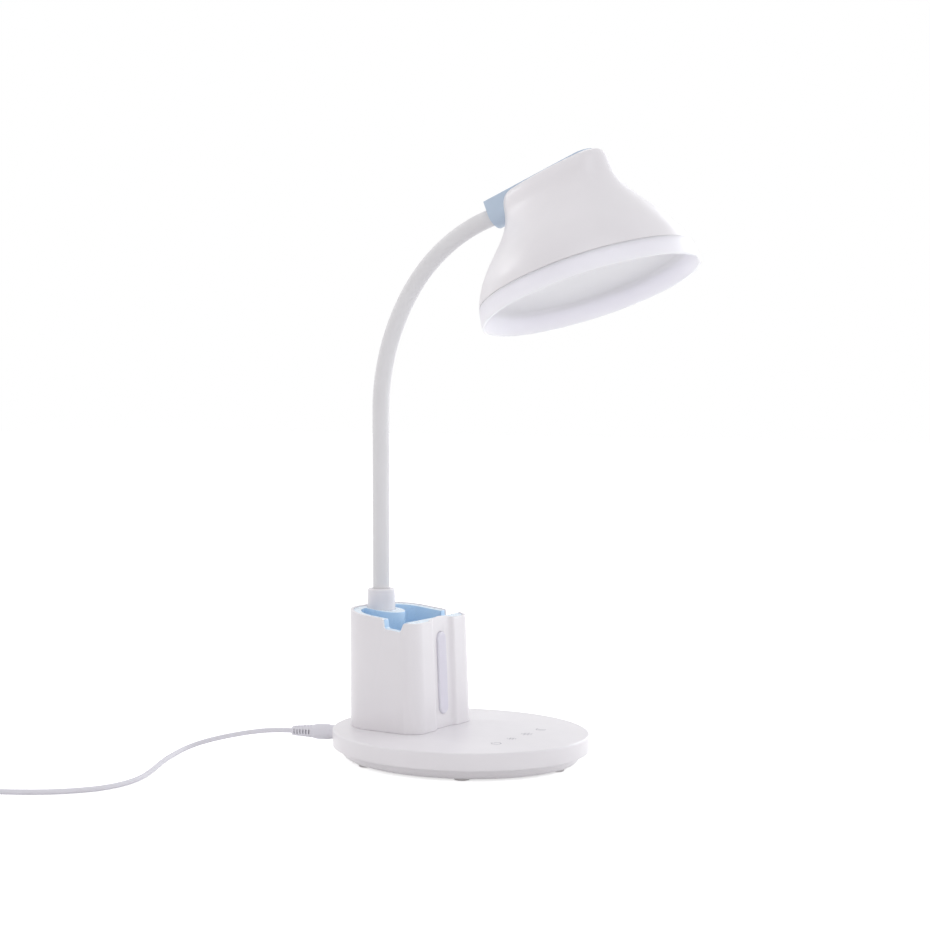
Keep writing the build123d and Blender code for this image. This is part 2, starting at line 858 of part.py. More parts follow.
# Head
def head_frame():
    """The head's frame, placed so that the bracket's block meets the end of the neck."""
    lean = math.radians(head_lean)
    upright = Plane(origin=(0, 0, 0), x_dir=(1, 0, 0), z_dir=(0, math.sin(lean), math.cos(lean)))
    block = Vector(0, bracket_rear, -bracket_side_depth).rotate(Axis.X, -crown_tilt)
    block += Vector(0, 0, head_height + bracket_proud)
    end, way = neck_spot(neck_length() + head_reach)
    socket = end + Vector(0, way.Z, -way.Y) * head_lift
    origin = socket - upright.from_local_coords(block)
    return Plane(origin=origin, x_dir=upright.x_dir, z_dir=upright.z_dir)


def four_arc_oval(half_long, half_wide, turn):
    """An oval of four tangent arcs that meet at the given turn, in radians, from its long axis."""
    c = math.cos(turn)
    s = math.sin(turn)
    side_share = (1 - s) / c
    end_radius = (half_wide - side_share * half_long) / (s - side_share * (1 - c))
    side_radius = (half_long - end_radius * (1 - c)) / c
    end_centre = half_long - end_radius
    side_centre = half_wide - side_radius
    degrees = math.degrees(turn)
    curve = CenterArc((side_centre, 0), side_radius, degrees - 90, 180 - 2 * degrees)
    curve += CenterArc((0, end_centre), end_radius, 90 - degrees, 2 * degrees)
    curve += CenterArc((-side_centre, 0), side_radius, degrees + 90, 180 - 2 * degrees)
    curve += CenterArc((0, -end_centre), end_radius, 270 - degrees, 2 * degrees)
    return make_face(curve)


def head_size_at(height_share):
    """The shade's half length and half width at a share of its height."""
    rows = profile_shares
    for (low, long_low, wide_low), (high, long_high, wide_high) in zip(rows, rows[1:]):
        if height_share <= high:
            break
    part = (height_share - low) / (high - low)
    long_share = long_low + part * (long_high - long_low)
    wide_share = wide_low + part * (wide_high - wide_low)
    return (
        crown_half_length + (rim_radius - crown_half_length) * long_share,
        crown_half_width + (rim_radius - crown_half_width) * wide_share,
    )


def head_section(height_share, inset, top):
    """One section of the shade, drawn in by inset, at a share of the height top."""
    half_long, half_wide = head_size_at(height_share)
    wide_share = min(max((half_wide - crown_half_width) / (rim_radius - crown_half_width), 0), 1)
    crown_turn = math.radians(crown_corner_turn)
    turn = crown_turn + (math.radians(rim_corner_turn) - crown_turn) * wide_share
    oval = four_arc_oval(half_long - inset, half_wide - inset, turn)
    seam_share = skirt_height / head_height
    rise_share = (height_share - seam_share) / (1 - seam_share)
    return Pos(0, 0, height_share * top) * Rot(-crown_tilt * rise_share, 0, 0) * oval


def shade_block(inset, top, start_share):
    shares = [row[0] for row in profile_shares if row[0] > start_share]
    sections = [head_section(share, inset, top) for share in [start_share] + shares]
    return loft(sections)


def bracket_frame():
    """The blue bracket's frame: origin on its top face above the head's middle, front -Y."""
    return Plane.XY * Pos(0, 0, head_height + bracket_proud) * Rot(-crown_tilt, 0, 0)


def tongue(half_wide, rear, front, low, high):
    """A strip with a round front end and a square rear end, between two levels."""
    plan = Pos(0, half_wide - front) * Circle(half_wide)
    plan += Pos(0, (rear - front + half_wide) / 2) * Rectangle(2 * half_wide, rear + front - half_wide)
    return bracket_frame() * Pos(0, 0, low) * extrude(plan, high - low)


def neck_block(grow):
    """The U-shaped block under the bracket's rear end, made larger by grow."""
    half = bracket_half_width + grow
    plan = Pos(0, -bracket_side_depth / 2) * Rectangle(2 * half, bracket_side_depth)
    plan += Pos(0, -bracket_side_depth) * Circle(half)
    plan -= Pos(0, half) * Rectangle(4 * half, 2 * half)
    block = extrude(plan, bracket_rear - bracket_inner)
    upright = Plane(origin=(0, bracket_rear, 0), x_dir=(1, 0, 0), z_dir=(0, -1, 0))
    return bracket_frame() * upright.location * block


def head_to_row(shape):
    return head_frame() * shape


def head_shell():
    start = skirt_height / head_height
    shell = shade_block(0, head_height, start)
    inner_top = head_height - crown_thickness
    inner = shade_block(head_wall, inner_top, start)
    low_section = head_section(start, head_wall, head_height)
    inner += extrude(low_section, -overrun)
    ledge = Pos(0, 0, ledge_height) * Cylinder(rim_radius, ledge_thickness, align=BOTTOM)
    ledge -= Cylinder(ledge_inner_radius, head_height, align=BOTTOM)
    shell -= inner - ledge
    half_wide = bracket_half_width + seat_gap
    shell -= tongue(half_wide, bracket_rear, bracket_front + seat_gap, -plate_thickness, overrun)
    shell -= neck_block(seat_gap)
    shell -= head_post_bores()
    for x, y in ring_places(head_screw_ring_radius, head_screw_count, 45):
        shell -= post(x, y, ledge_height - overrun, screw_radius, ledge_thickness + 2 * overrun)
    shell = head_to_row(shell)
    nut_end = core_end() + overrun
    nut_start = neck_length() + bracket_rear - bracket_inner
    return shell - neck_rod(head_nut_radius + running_gap, nut_start, nut_end)


def head_post_bores():
    """The two holes through the crown for the bracket's posts."""
    bore = Cylinder(bracket_post_radius + seat_gap, head_height / 2, align=TOP)
    return spread(bracket_frame() * bore, [(0, y, 0) for y in bracket_post_rows()])


def bracket_post_rows():
    """Where the bracket's two screw posts go down through the shade's crown."""
    return (-bracket_front + 2 * bracket_half_width, bracket_half_width)


def head_bracket():
    body = tongue(bracket_half_width, bracket_rear, bracket_front, -plate_thickness + seat_gap, 0)
    body += neck_block(0)
    stem = Cylinder(bracket_post_radius, crown_thickness + bracket_proud - seat_gap, align=TOP)
    bore = Cylinder(bracket_screw_radius, head_height, align=TOP)
    for y in bracket_post_rows():
        body += bracket_frame() * Pos(0, y, -seat_gap) * stem
        body -= bracket_frame() * Pos(0, y, -plate_thickness / 2) * bore
    body = head_to_row(body)
    end = neck_length()
    body -= neck_rod(core_radius + seat_gap, end - bracket_rear, end + bracket_rear)
    body -= neck_rod(neck_radius + running_gap, end - neck_socket_run, end + neck_socket_run)
    return body


def ring_places(radius, count, first_turn):
    places = []
    for number in range(count):
        turn = math.radians(first_turn + 360 * number / count)
        places.append((radius * math.cos(turn), radius * math.sin(turn)))
    return places


def diffuser():
    """The frosted cover: a skirt that carries on the shade's side, and a recessed plate."""
    rim_inner = rim_radius - diffuser_rim_wall
    seam_radius = head_size_at(skirt_height / head_height)[0]
    plate_low = diffuser_plate_height
    plate_high = plate_low + diffuser_plate_thickness
    inner_share = (skirt_height + diffuser_lip_height) / (head_height - crown_thickness)
    lip_radius = head_size_at(inner_share)[0] - head_wall - running_gap
    outer_points = [(0, plate_high), (lip_radius - diffuser_lip_wall, plate_high)]
    outer_points += [(lip_radius - diffuser_lip_wall, skirt_height + diffuser_lip_height)]
    outer_points += [(lip_radius, skirt_height + diffuser_lip_height), (lip_radius, skirt_height)]
    outer_points += [(seam_radius, skirt_height)]
    profile = Polyline(*outer_points)
    belly = (rim_radius - (rim_radius - seam_radius) * skirt_belly_share, skirt_height / 2)
    profile += ThreePointArc((seam_radius, skirt_height), belly, (rim_radius, 0))
    inner = FilletPolyline(
        (rim_inner, 0), (diffuser_plate_radius, plate_low), (0, plate_low), radius=diffuser_fillet_radius
    )
    profile += Line((rim_radius, 0), (rim_inner, 0)) + inner
    profile += Line((0, plate_low), (0, plate_high))
    return head_to_row(revolve(Plane.XZ * make_face(profile), axis=Axis.Z))


def led_carrier():
    radius = carrier_radius()
    plate = Pos(0, 0, ledge_height) * Cylinder(radius, carrier_thickness, align=TOP)
    for x, y in ring_places(head_screw_ring_radius, head_screw_count, 45):
        plate -= post(x, y, 0, screw_radius + seat_gap, head_height)
    for x, y in ring_places(board_screw_ring_radius, board_screw_count, 90):
        plate -= post(x, y, 0, screw_radius, head_height)
    plate -= post(0, 0, 0, board_hole_radius, head_height)
    return head_to_row(plate)


def carrier_radius():
    inner_share = ledge_height / (head_height - crown_thickness)
    return head_size_at(inner_share)[0] - head_wall - carrier_edge_gap


def led_board():
    top = ledge_height - carrier_thickness
    board = Pos(0, 0, top) * Cylinder(led_board_radius, board_thickness, align=TOP)
    for x, y in ring_places(board_screw_ring_radius, board_screw_count, 90):
        board -= post(x, y, 0, screw_radius + seat_gap, head_height)
    board -= post(0, 0, 0, board_hole_radius, head_height)
    return head_to_row(board)


def leds():
    top = ledge_height - carrier_thickness - board_thickness
    chip = Box(led_size, led_size, led_height, align=TOP)
    chips = []
    for radius, count in zip(led_ring_radii, led_ring_counts):
        for x, y in ring_places(radius, count, 0):
            chips.append(head_to_row(Pos(x, y, top) * chip))
    return Compound(children=chips)


def head_screws():
    """Screws through the carrier into the shade's ledge, and through the board into the carrier."""
    carrier_low = ledge_height - carrier_thickness
    board_low = carrier_low - board_thickness
    outer = [(x, y, carrier_low) for x, y in ring_places(head_screw_ring_radius, head_screw_count, 45)]
    inner = [(x, y, board_low) for x, y in ring_places(board_screw_ring_radius, board_screw_count, 90)]
    solids = [head_to_row(Pos(*place) * screw(carrier_thickness + ledge_thickness)) for place in outer]
    solids += [head_to_row(Pos(*place) * screw(board_thickness + carrier_thickness)) for place in inner]
    return Compound(children=solids)


def head_nut():
    """The nut that holds the neck in the bracket's block."""
    nut = extrude(RegularPolygon(head_nut_radius, nut_sides), head_nut_thickness)
    nut -= Cylinder(core_radius + seat_gap, 2 * head_nut_thickness + overrun)
    return neck_frame(core_end() - head_nut_thickness) * nut


# Power lead
def turn_radii(points):
    """The largest neat arc at each inner point of a route."""
    radii = []
    for before, here, after in zip(points, points[1:], points[2:]):
        first = here - before
        second = after - here
        half_turn = math.radians(first.get_angle(second)) / 2
        radii.append(lead_corner_share * min(first.length, second.length) / math.tan(half_turn))
    return radii


def lead_tube(points, label):
    points = [Vector(*point) for point in points]
    radii = turn_radii(points)
    path = FilletPolyline(*points, radius=radii)
    print(label, "length %.1f" % path.length, "radii", [round(radius, 1) for radius in radii])
    section = Plane(origin=points[0], z_dir=points[1] - points[0]) * Circle(lead_radius)
    tube = sweep(section, path=path.wire())
    expected = math.pi * lead_radius**2 * path.length
    print(label, "volume share %.4f" % (tube.volume / expected))
    return tube


def inlet_spot(distance):
    inlet = jack_frame()
    return inlet.origin + inlet.z_dir * distance


def dc_plug():
    points = [
        (0, -plug_seat_depth),
        (plug_base_radius, -plug_seat_depth),
        (plug_grip_radius, plug_grip_start),
        (plug_grip_radius, plug_grip_end),
        (relief_radius, plug_cone_end),
        (0, plug_cone_end),
    ]
    body = revolve(Plane.XZ * make_face(Polyline(*points, close=True)), axis=Axis.Z)
    return jack_frame() * body


def dc_plug_barrel():
    barrel = Pos(0, 0, -plug_seat_depth) * Cylinder(plug_barrel_radius, plug_barrel_length, align=TOP)
    bore = Pos(0, 0, -plug_seat_depth - overrun) * Cylinder(plug_barrel_bore, plug_barrel_length, align=TOP)
    return jack_frame() * (barrel - bore)


def strain_relief():
    """A tapered sleeve with grooves between its ribs."""
    pitch = relief_length / relief_ring_count
    rib = pitch * relief_ring_share
    body = Cylinder(relief_core_radius, relief_length, align=BOTTOM)
    for number in range(relief_ring_count):
        share = number / (relief_ring_count - 1)
        radius = relief_radius + (relief_tip_radius - relief_radius) * share
        body += Pos(0, 0, share * (relief_length - rib)) * Cylinder(radius, rib, align=BOTTOM)
    return jack_frame() * Pos(0, 0, plug_cone_end) * body


def coil_spot(turns):
    """A point and a direction of the coil's middle line after so many turns."""
    half = coil_turns / 2
    outwards = (turns > half) - (turns < half)
    radius = coil_outer_radius - coil_step * (half - abs(turns - half))
    climb = min(max((turns - half) / coil_climb_turns + 1 / 2, 0), 1)
    level = coil_low + coil_step * climb
    slope = outwards * coil_step / (2 * math.pi)
    rise = coil_step / (coil_climb_turns * 2 * math.pi) if 0 < climb < 1 else 0.0
    bearing = math.radians(coil_start_bearing - 360 * turns)
    centre = Vector(*coil_centre, 0)
    radial = Vector(math.cos(bearing), math.sin(bearing), 0)
    along = Vector(math.sin(bearing), -math.cos(bearing), 0)
    point = centre + radial * radius + Vector(0, 0, level)
    direction = radial * slope + along * radius + Vector(0, 0, rise)
    return point, direction.normalized()


def coil_stops():
    """The coil is drawn in quarter turns, counted from where its spiral reverses."""
    half = coil_turns / 2
    quarters = int(half * 4)
    stops = [half + number / 4 for number in range(-quarters, quarters + 1)]
    return [0] + [stop for stop in stops if seat_gap < stop < coil_turns - seat_gap] + [coil_turns]


def biarc(start, start_way, end, end_way):
    """Two tangent arcs from one point and direction to another."""
    span = end - start
    ways = start_way + end_way
    slack = 2 * (1 - start_way.dot(end_way))
    reach = (-span.dot(ways) + math.sqrt(span.dot(ways) ** 2 + slack * span.dot(span))) / slack
    middle = (start + end + (start_way - end_way) * reach) / 2
    middle_way = (end - end_way * reach) - (start + start_way * reach)
    return [
        Edge.make_tangent_arc(start, start_way, middle),
        Edge.make_tangent_arc(middle, middle_way, end),
    ]


def coil_edges():
    spots = [coil_spot(stop) for stop in coil_stops()]
    edges = []
    for (start, start_way), (end, end_way) in zip(spots, spots[1:]):
        edges += biarc(start, start_way, end, end_way)
    first, first_way = spots[0]
    last, last_way = spots[-1]
    lead_in = Edge.make_line(first - first_way * 2 * lead_radius, first)
    lead_out = Edge.make_line(last, last + last_way * 2 * lead_radius)
    return [lead_in] + edges + [lead_out]


def least_gap(edges):
    """The least gap of the coiled tube to itself, measured on points along its middle line."""
    samples = 12
    points = [edge @ (number / samples) for edge in edges for number in range(samples)]
    near = 3 * samples
    least = min(
        (one - other).length for place, one in enumerate(points) for other in points[place + near :]
    )
    return least - 2 * lead_radius


def lead_coil():
    edges = coil_edges()
    path = Wire(edges)
    print("coil length %.1f" % path.length, "least gap %.2f" % least_gap(edges))
    start, way = coil_spot(0)
    section = Plane(origin=start - way * 2 * lead_radius, z_dir=way) * Circle(lead_radius)
    return sweep(section, path=path)


def power_lead():
    """The lead's free stretch, from the strain relief to the coil."""
    coil_start, way = coil_spot(0)
    end = coil_start - way * 2 * lead_radius
    join = end - way * lead_join_run
    exit_end = plug_cone_end + relief_length
    first = [inlet_spot(exit_end), inlet_spot(exit_end + lead_exit_run)]
    return lead_tube([*first, *lead_points, join, end], "lead")


def tail_points():
    """From the coil's last turn down to the plug, which lies on the table beside the coil."""
    last, way = coil_spot(coil_turns)
    point = last + way * 2 * lead_radius
    points = [point]
    levels = [point.Z, usb_grip_height / 2 + (point.Z - usb_grip_height / 2) / 2, usb_grip_height / 2]
    bearing = math.atan2(way.Y, way.X)
    for step, level in zip(range(tail_steps), levels):
        turn = bearing + math.radians(tail_turn * step)
        point = Vector(point.X + tail_run * math.cos(turn), point.Y + tail_run * math.sin(turn), level)
        points.append(point)
    last_turn = bearing + math.radians(tail_turn * tail_steps)
    end = point + Vector(math.cos(last_turn), math.sin(last_turn), 0) * tail_run
    return points + [end]


def lead_tail():
    return lead_tube(tail_points(), "tail")


def usb_frame():
    points = tail_points()
    way = (points[-1] - points[-2]).normalized()
    return Plane(origin=points[-1], x_dir=(-way.Y, way.X, 0), z_dir=way)


def usb_plug():
    grip = Box(usb_grip_width, usb_grip_height, usb_grip_length, align=BOTTOM)
    grip = fillet(grip.edges().filter_by(Axis.Z), usb_edge_radius)
    grip = fillet(grip.edges().group_by(Axis.Z)[0], usb_edge_radius / 2)
    return usb_frame() * grip


def usb_shell():
    shell = Box(usb_shell_width, usb_shell_height, usb_shell_length, align=BOTTOM)
    inner_width = usb_shell_width - 2 * usb_shell_wall
    inner_height = usb_shell_height - 2 * usb_shell_wall
    room = Box(inner_width, inner_height, usb_shell_length, align=BOTTOM)
    return usb_frame() * Pos(0, 0, usb_grip_length) * (shell - Pos(0, 0, usb_shell_wall) * room)


def usb_tongue():
    width = usb_shell_width - 2 * usb_shell_wall
    length = usb_shell_length - 2 * usb_shell_wall
    tongue_block = Box(width, usb_tongue_height, length, align=BOTTOM)
    shift = (usb_shell_height - usb_tongue_height) / 2 - usb_shell_wall
    return usb_frame() * Pos(0, shift, usb_grip_length + usb_shell_wall) * tongue_block


def coil_tie():
    """A flat band round the coil's turns."""
    inner = coil_outer_radius - coil_step * coil_turns / 2 - lead_radius - tie_slack
    outer = coil_outer_radius + lead_radius + seat_gap
    height = coil_step + 2 * lead_radius + 2 * seat_gap
    room = Box(outer - inner, 2 * tie_width, height, align=(Align.MIN, Align.CENTER, Align.MIN))
    band = Box(
        outer - inner + 2 * tie_thickness,
        tie_width,
        height + 2 * tie_thickness,
        align=(Align.MIN, Align.CENTER, Align.MIN),
    )
    band -= Pos(tie_thickness, 0, tie_thickness) * room
    place = Pos(*coil_centre, 0) * Rot(0, 0, coil_start_bearing + tie_turn)
    return place * Pos(inner - tie_thickness, 0, 0) * band


def neck_cable():
    """The cable from the driver board up the neck and down to the light board."""
    start = jack_height - jack_below + seat_gap - collar_top
    inside = core_end() + 2 * overrun
    board_top = ledge_height - carrier_thickness + seat_gap
    first, way = neck_spot(inside)
    frame = head_frame()
    points = [first, first + way * cable_entry_run]
    points.append(frame.from_local_coords((0, cable_drop_depth, cable_drop_height)))
    points.append(frame.from_local_coords((0, 0, board_top)))
    curve = FilletPolyline(*points, radius=turn_radii(points))
    path = Wire(list(neck_line(start, inside).edges()) + list(curve.edges()))
    point, direction = neck_spot(start)
    section = Plane(origin=point, x_dir=(1, 0, 0), z_dir=direction) * Circle(cable_radius)
    return sweep(section, path=path)


def bracket_screws():
    screws = []
    low = -crown_thickness - bracket_proud - seat_gap
    body = Cylinder(bracket_screw_radius, bracket_screw_length, align=BOTTOM)
    body += Cylinder(bracket_screw_head_radius, bracket_screw_head_height, align=TOP)
    for y in bracket_post_rows():
        screws.append(head_to_row(bracket_frame() * Pos(0, y, low) * body))
    return Compound(children=screws)


pieces = {
    "base_top_shell": base_top_shell,
    "base_bottom_cover": base_bottom_cover,
    "rubber_feet": rubber_feet,
    "base_screws": base_screws,
    "ballast_plate": ballast_plate,
    "touch_board": touch_board,
    "touch_pads": touch_pads,
    "board_screws": board_screws,
    "driver_board": driver_board,
    "dc_jack": dc_jack,
    "dc_jack_pin": dc_jack_pin,
    "holder_shell": holder_shell,
    "holder_liner": holder_liner,
    "holder_screws": holder_screws,
    "night_light_lens": night_light_lens,
    "night_light_board": night_light_board,
    "night_light_leds": night_light_leds,
    "neck_collar": neck_collar,
    "neck_spigot": neck_spigot,
    "neck_nut": neck_nut,
    "neck_sleeve": neck_sleeve,
    "neck_cable": neck_cable,
    "head_shell": head_shell,
    "head_bracket": head_bracket,
    "head_nut": head_nut,
    "bracket_screws": bracket_screws,
    "diffuser": diffuser,
    "led_carrier": led_carrier,
    "led_board": led_board,
    "leds": leds,
    "head_screws": head_screws,
    "dc_plug": dc_plug,
    "dc_plug_barrel": dc_plug_barrel,
    "strain_relief": strain_relief,
    "power_lead": power_lead,
    "lead_coil": lead_coil,
    "lead_tail": lead_tail,
    "coil_tie": coil_tie,
    "usb_plug": usb_plug,
    "usb_shell": usb_shell,
    "usb_tongue": usb_tongue,
}

os.makedirs("parts", exist_ok=True)
for node, make in pieces.items():
    export_step(make(), "parts/" + node + ".step")
for number, core in enumerate(neck_cores(), start=1):
    export_step(core, "parts/neck_core_%d.step" % number)
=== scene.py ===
"""Table lamp with an arched flexible neck, a round shade and a pen holder, dressed over its CAD frame."""

import json
import math

import bmesh
import bpy
from mathutils import Matrix, Vector


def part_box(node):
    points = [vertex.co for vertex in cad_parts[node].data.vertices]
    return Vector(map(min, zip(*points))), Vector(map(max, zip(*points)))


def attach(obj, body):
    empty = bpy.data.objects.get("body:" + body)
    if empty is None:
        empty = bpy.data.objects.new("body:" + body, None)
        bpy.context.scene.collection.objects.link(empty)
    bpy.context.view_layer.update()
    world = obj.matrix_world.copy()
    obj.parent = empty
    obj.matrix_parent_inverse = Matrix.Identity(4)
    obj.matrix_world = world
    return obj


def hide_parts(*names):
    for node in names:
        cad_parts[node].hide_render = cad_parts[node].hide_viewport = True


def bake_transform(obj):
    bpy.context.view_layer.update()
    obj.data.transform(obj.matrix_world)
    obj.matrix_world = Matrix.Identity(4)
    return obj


bl_info = {
    "name": "Table Lamp Builder",
    "version": (1, 0, 0),
    "blender": (4, 5, 0),
    "location": "View3D > Sidebar > Lamp",
    "description": "Builds the visible pieces, finishes and stage of a table lamp",
    "category": "Object",
}

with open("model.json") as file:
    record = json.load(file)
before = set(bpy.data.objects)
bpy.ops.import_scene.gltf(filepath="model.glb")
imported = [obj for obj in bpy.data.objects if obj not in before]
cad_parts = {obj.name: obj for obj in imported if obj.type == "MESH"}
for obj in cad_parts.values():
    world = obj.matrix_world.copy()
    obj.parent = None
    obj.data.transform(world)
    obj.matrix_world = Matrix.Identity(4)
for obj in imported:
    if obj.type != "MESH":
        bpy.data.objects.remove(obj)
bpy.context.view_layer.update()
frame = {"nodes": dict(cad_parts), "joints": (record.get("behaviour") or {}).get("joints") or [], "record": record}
MM = 0.001


def node_top(name):
    """The height of a part's highest point."""
    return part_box(name)[1].z


def node_bottom(name):
    """The height of a part's lowest point."""
    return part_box(name)[0].z


class LampColours(bpy.types.PropertyGroup):
    """Colours of the lamp's plastics and small parts."""

    white: bpy.props.FloatVectorProperty(
        name="White plastic", description="Satin white of the base, holder and shade",
        subtype="COLOR", size=3, min=0, max=1, default=(0.82, 0.80, 0.82))
    sleeve: bpy.props.FloatVectorProperty(
        name="Neck sleeve", description="Soft white of the flexible neck",
        subtype="COLOR", size=3, min=0, max=1, default=(0.75, 0.745, 0.755))
    liner: bpy.props.FloatVectorProperty(
        name="Liner blue", description="Pale blue of the pen holder's liner",
        subtype="COLOR", size=3, min=0, max=1, default=(0.53, 0.74, 0.95))
    bracket: bpy.props.FloatVectorProperty(
        name="Bracket blue", description="Grey-blue of the bracket on the shade",
        subtype="COLOR", size=3, min=0, max=1, default=(0.50, 0.60, 0.72))
    frosted: bpy.props.FloatVectorProperty(
        name="Frosted cover", description="Milky white of the shade's cover",
        subtype="COLOR", size=3, min=0, max=1, default=(0.845, 0.835, 0.89))
    strip: bpy.props.FloatVectorProperty(
        name="Night-light strip", description="Pale lavender of the night light's cover",
        subtype="COLOR", size=3, min=0, max=1, default=(0.73, 0.71, 0.80))
    lead: bpy.props.FloatVectorProperty(
        name="Lead", description="Pale grey of the power lead and its plugs",
        subtype="COLOR", size=3, min=0, max=1, default=(0.74, 0.73, 0.78))
    rubber: bpy.props.FloatVectorProperty(
        name="Rubber", description="Grey of the feet",
        subtype="COLOR", size=3, min=0, max=1, default=(0.66, 0.64, 0.64))
    print_ink: bpy.props.FloatVectorProperty(
        name="Key print", description="Grey print of the four touch keys",
        subtype="COLOR", size=3, min=0, max=1, default=(0.38, 0.37, 0.41))


class LampSizes(bpy.types.PropertyGroup):
    """Sizes that a user may change without touching the frame."""

    lead_diameter: bpy.props.FloatProperty(
        name="Lead diameter", description="Outside diameter of the power lead",
        unit="LENGTH", default=3.3 * MM, min=2 * MM, max=6 * MM)
    bend_reach: bpy.props.FloatProperty(
        name="Bend reach", description="How far a bend spreads to each side of a knuckle",
        unit="LENGTH", default=28 * MM, min=10 * MM, max=30 * MM)
    neck_sides: bpy.props.IntProperty(
        name="Neck sides", description="Number of faces round the neck", default=40, min=16, max=96)


class LampStage(bpy.types.PropertyGroup):
    """Camera, floor and light."""

    camera_place: bpy.props.FloatVectorProperty(
        name="Camera place", description="Where the camera stands",
        subtype="TRANSLATION", unit="LENGTH", size=3, default=(-1.00761, -0.65154, 0.24662))
    camera_turn: bpy.props.FloatProperty(
        name="Camera turn", description="Direction of view, from +X towards +Y",
        unit="ROTATION", default=math.radians(32.7309))
    camera_pitch: bpy.props.FloatProperty(
        name="Camera pitch", description="How far the camera looks down",
        unit="ROTATION", default=math.radians(2.6225))
    camera_lens: bpy.props.FloatProperty(
        name="Lens", description="Focal length in millimetres for a 36 mm sensor",
        default=71.675, min=10, max=300)
    floor_colour: bpy.props.FloatVectorProperty(
        name="Floor", description="Pale floor and background",
        subtype="COLOR", size=3, min=0, max=1, default=(0.92, 0.92, 0.92))
    light: bpy.props.FloatProperty(
        name="Light level", description="Scales every lamp on the stage", default=1.0, min=0, max=5)


# Shader expressions

# The range that a noise mostly keeps to
NOISE_RANGE = (0.3, 0.7)
# A Mix node's sockets for colours go by place, because its three kinds share their names
MIX_SHARE, MIX_FIRST, MIX_SECOND, MIX_RESULT = 0, 6, 7, 2


class Sock:
    """A shader socket that can be used in sums; each sum adds a Math node."""

    def __init__(self, tree, out):
        self.tree = tree
        self.out = out

    def _math(self, operation, *values):
        node = self.tree.nodes.new("ShaderNodeMath")
        node.operation = operation
        for place, value in enumerate(values):
            if isinstance(value, Sock):
                self.tree.links.new(value.out, node.inputs[place])
            else:
                node.inputs[place].default_value = value
        return Sock(self.tree, node.outputs[0])

    def __add__(self, other):
        return self._math("ADD", self, other)

    __radd__ = __add__

    def __sub__(self, other):
        return self._math("SUBTRACT", self, other)

    def __rsub__(self, other):
        return self._math("SUBTRACT", other, self)

    def __mul__(self, other):
        return self._math("MULTIPLY", self, other)

    __rmul__ = __mul__

    def __gt__(self, other):
        return self._math("GREATER_THAN", self, other)

    def __lt__(self, other):
        return self._math("LESS_THAN", self, other)


class Finish:
    """A material, or a world, under construction, with short ways to add its nodes."""

    def __init__(self, name, holder=None):
        self.holder = holder or bpy.data.materials.new(name)
        self.holder.use_nodes = True
        self.tree = self.holder.node_tree
        self.tree.nodes.clear()
        self.place = self.add("ShaderNodeTexCoord", {}, {}, "Object")

    def add(self, kind, settings, values, output=0):
        """A node of any type: its settings first, then its sockets' values or links."""
        node = self.tree.nodes.new(kind)
        for name, value in settings.items():
            setattr(node, name, value)
        for name, value in values.items():
            socket = node.inputs[name]
            if isinstance(value, Sock):
                self.tree.links.new(value.out, socket)
            elif socket.type == "RGBA":
                socket.default_value = (*value, 1)
            else:
                socket.default_value = value
        return node if output is None else Sock(self.tree, node.outputs[output])

    def noise(self, scale, detail=2.0, rough=0.5, where=None):
        """A cloudy pattern, with so many repeats to the metre."""
        values = {"Vector": where or self.place, "Scale": scale, "Detail": detail, "Roughness": rough}
        return self.add("ShaderNodeTexNoise", {}, values, "Fac")

    def cells(self, scale):
        """The distance from the nearest of many scattered points."""
        return self.add("ShaderNodeTexVoronoi", {}, {"Vector": self.place, "Scale": scale}, "Distance")

    def clip(self, value, low, high, to_low=0.0, to_high=1.0):
        """A value moved from one range to another and kept inside it."""
        values = {"Value": value, "From Min": low, "From Max": high, "To Min": to_low, "To Max": to_high}
        return self.add("ShaderNodeMapRange", {"clamp": True}, values, "Result")

    def even(self, noise, low=0.0, high=1.0):
        """A noise spread over a range."""
        return self.clip(noise, *NOISE_RANGE, low, high)

    def mix(self, share, first, second):
        """Two colours mixed by a share."""
        values = {MIX_SHARE: share, MIX_FIRST: first, MIX_SECOND: second}
        return self.add("ShaderNodeMix", {"data_type": "RGBA"}, values, MIX_RESULT)

    def upward(self):
        """How far a surface looks up."""
        facing = self.add("ShaderNodeNewGeometry", {}, {}, "Normal")
        return self.add("ShaderNodeSeparateXYZ", {}, {"Vector": facing}, "Z")

    def bump(self, height, distance):
        """Fine relief, from a pattern and the depth of its full range."""
        return self.add("ShaderNodeBump", {}, {"Height": height, "Distance": distance})

    def blend_shaders(self, share, first, second):
        """Two shaders mixed by a share."""
        return self.add("ShaderNodeMixShader", {}, {0: share, 1: first, 2: second})

    def seen_directly(self):
        """One for what the camera, a reflection or glass shows, and zero for the light itself."""
        path = self.add("ShaderNodeLightPath", {}, {}, None)
        camera, glossy, transmission = (
            Sock(self.tree, path.outputs["Is %s Ray" % kind]) for kind in ("Camera", "Glossy", "Transmission"))
        return self.clip(camera + glossy + transmission, 0.0, 1.0)

    def surface(self, values):
        """The closing shader, from values for its sockets."""
        shader = self.add("ShaderNodeBsdfPrincipled", {}, values)
        self.add("ShaderNodeOutputMaterial", {}, {"Surface": shader}, None)
        return self.holder


# How far up a face has to look before the painted sheen starts on it, and when the sheen is full
SHEEN_FACING = (0.45, 0.9)
# Paler blue for the liner's upward faces: a painted sheen in place of the light reflected from above on its rim
LINER_PAINTED_SHEEN = (0.76, 0.87, 0.96)
RUST = (0.16, 0.1, 0.07)
PHOSPHOR = (0.86, 0.62, 0.12)
CHIP_FRAME = (0.93, 0.84, 0.5)
# How deep light goes into the frosted plastic
MILK_DEPTH = 6 * MM


def tinted(colour, factor):
    """A colour made darker or lighter."""
    return tuple(min(1.0, part * factor) for part in colour)


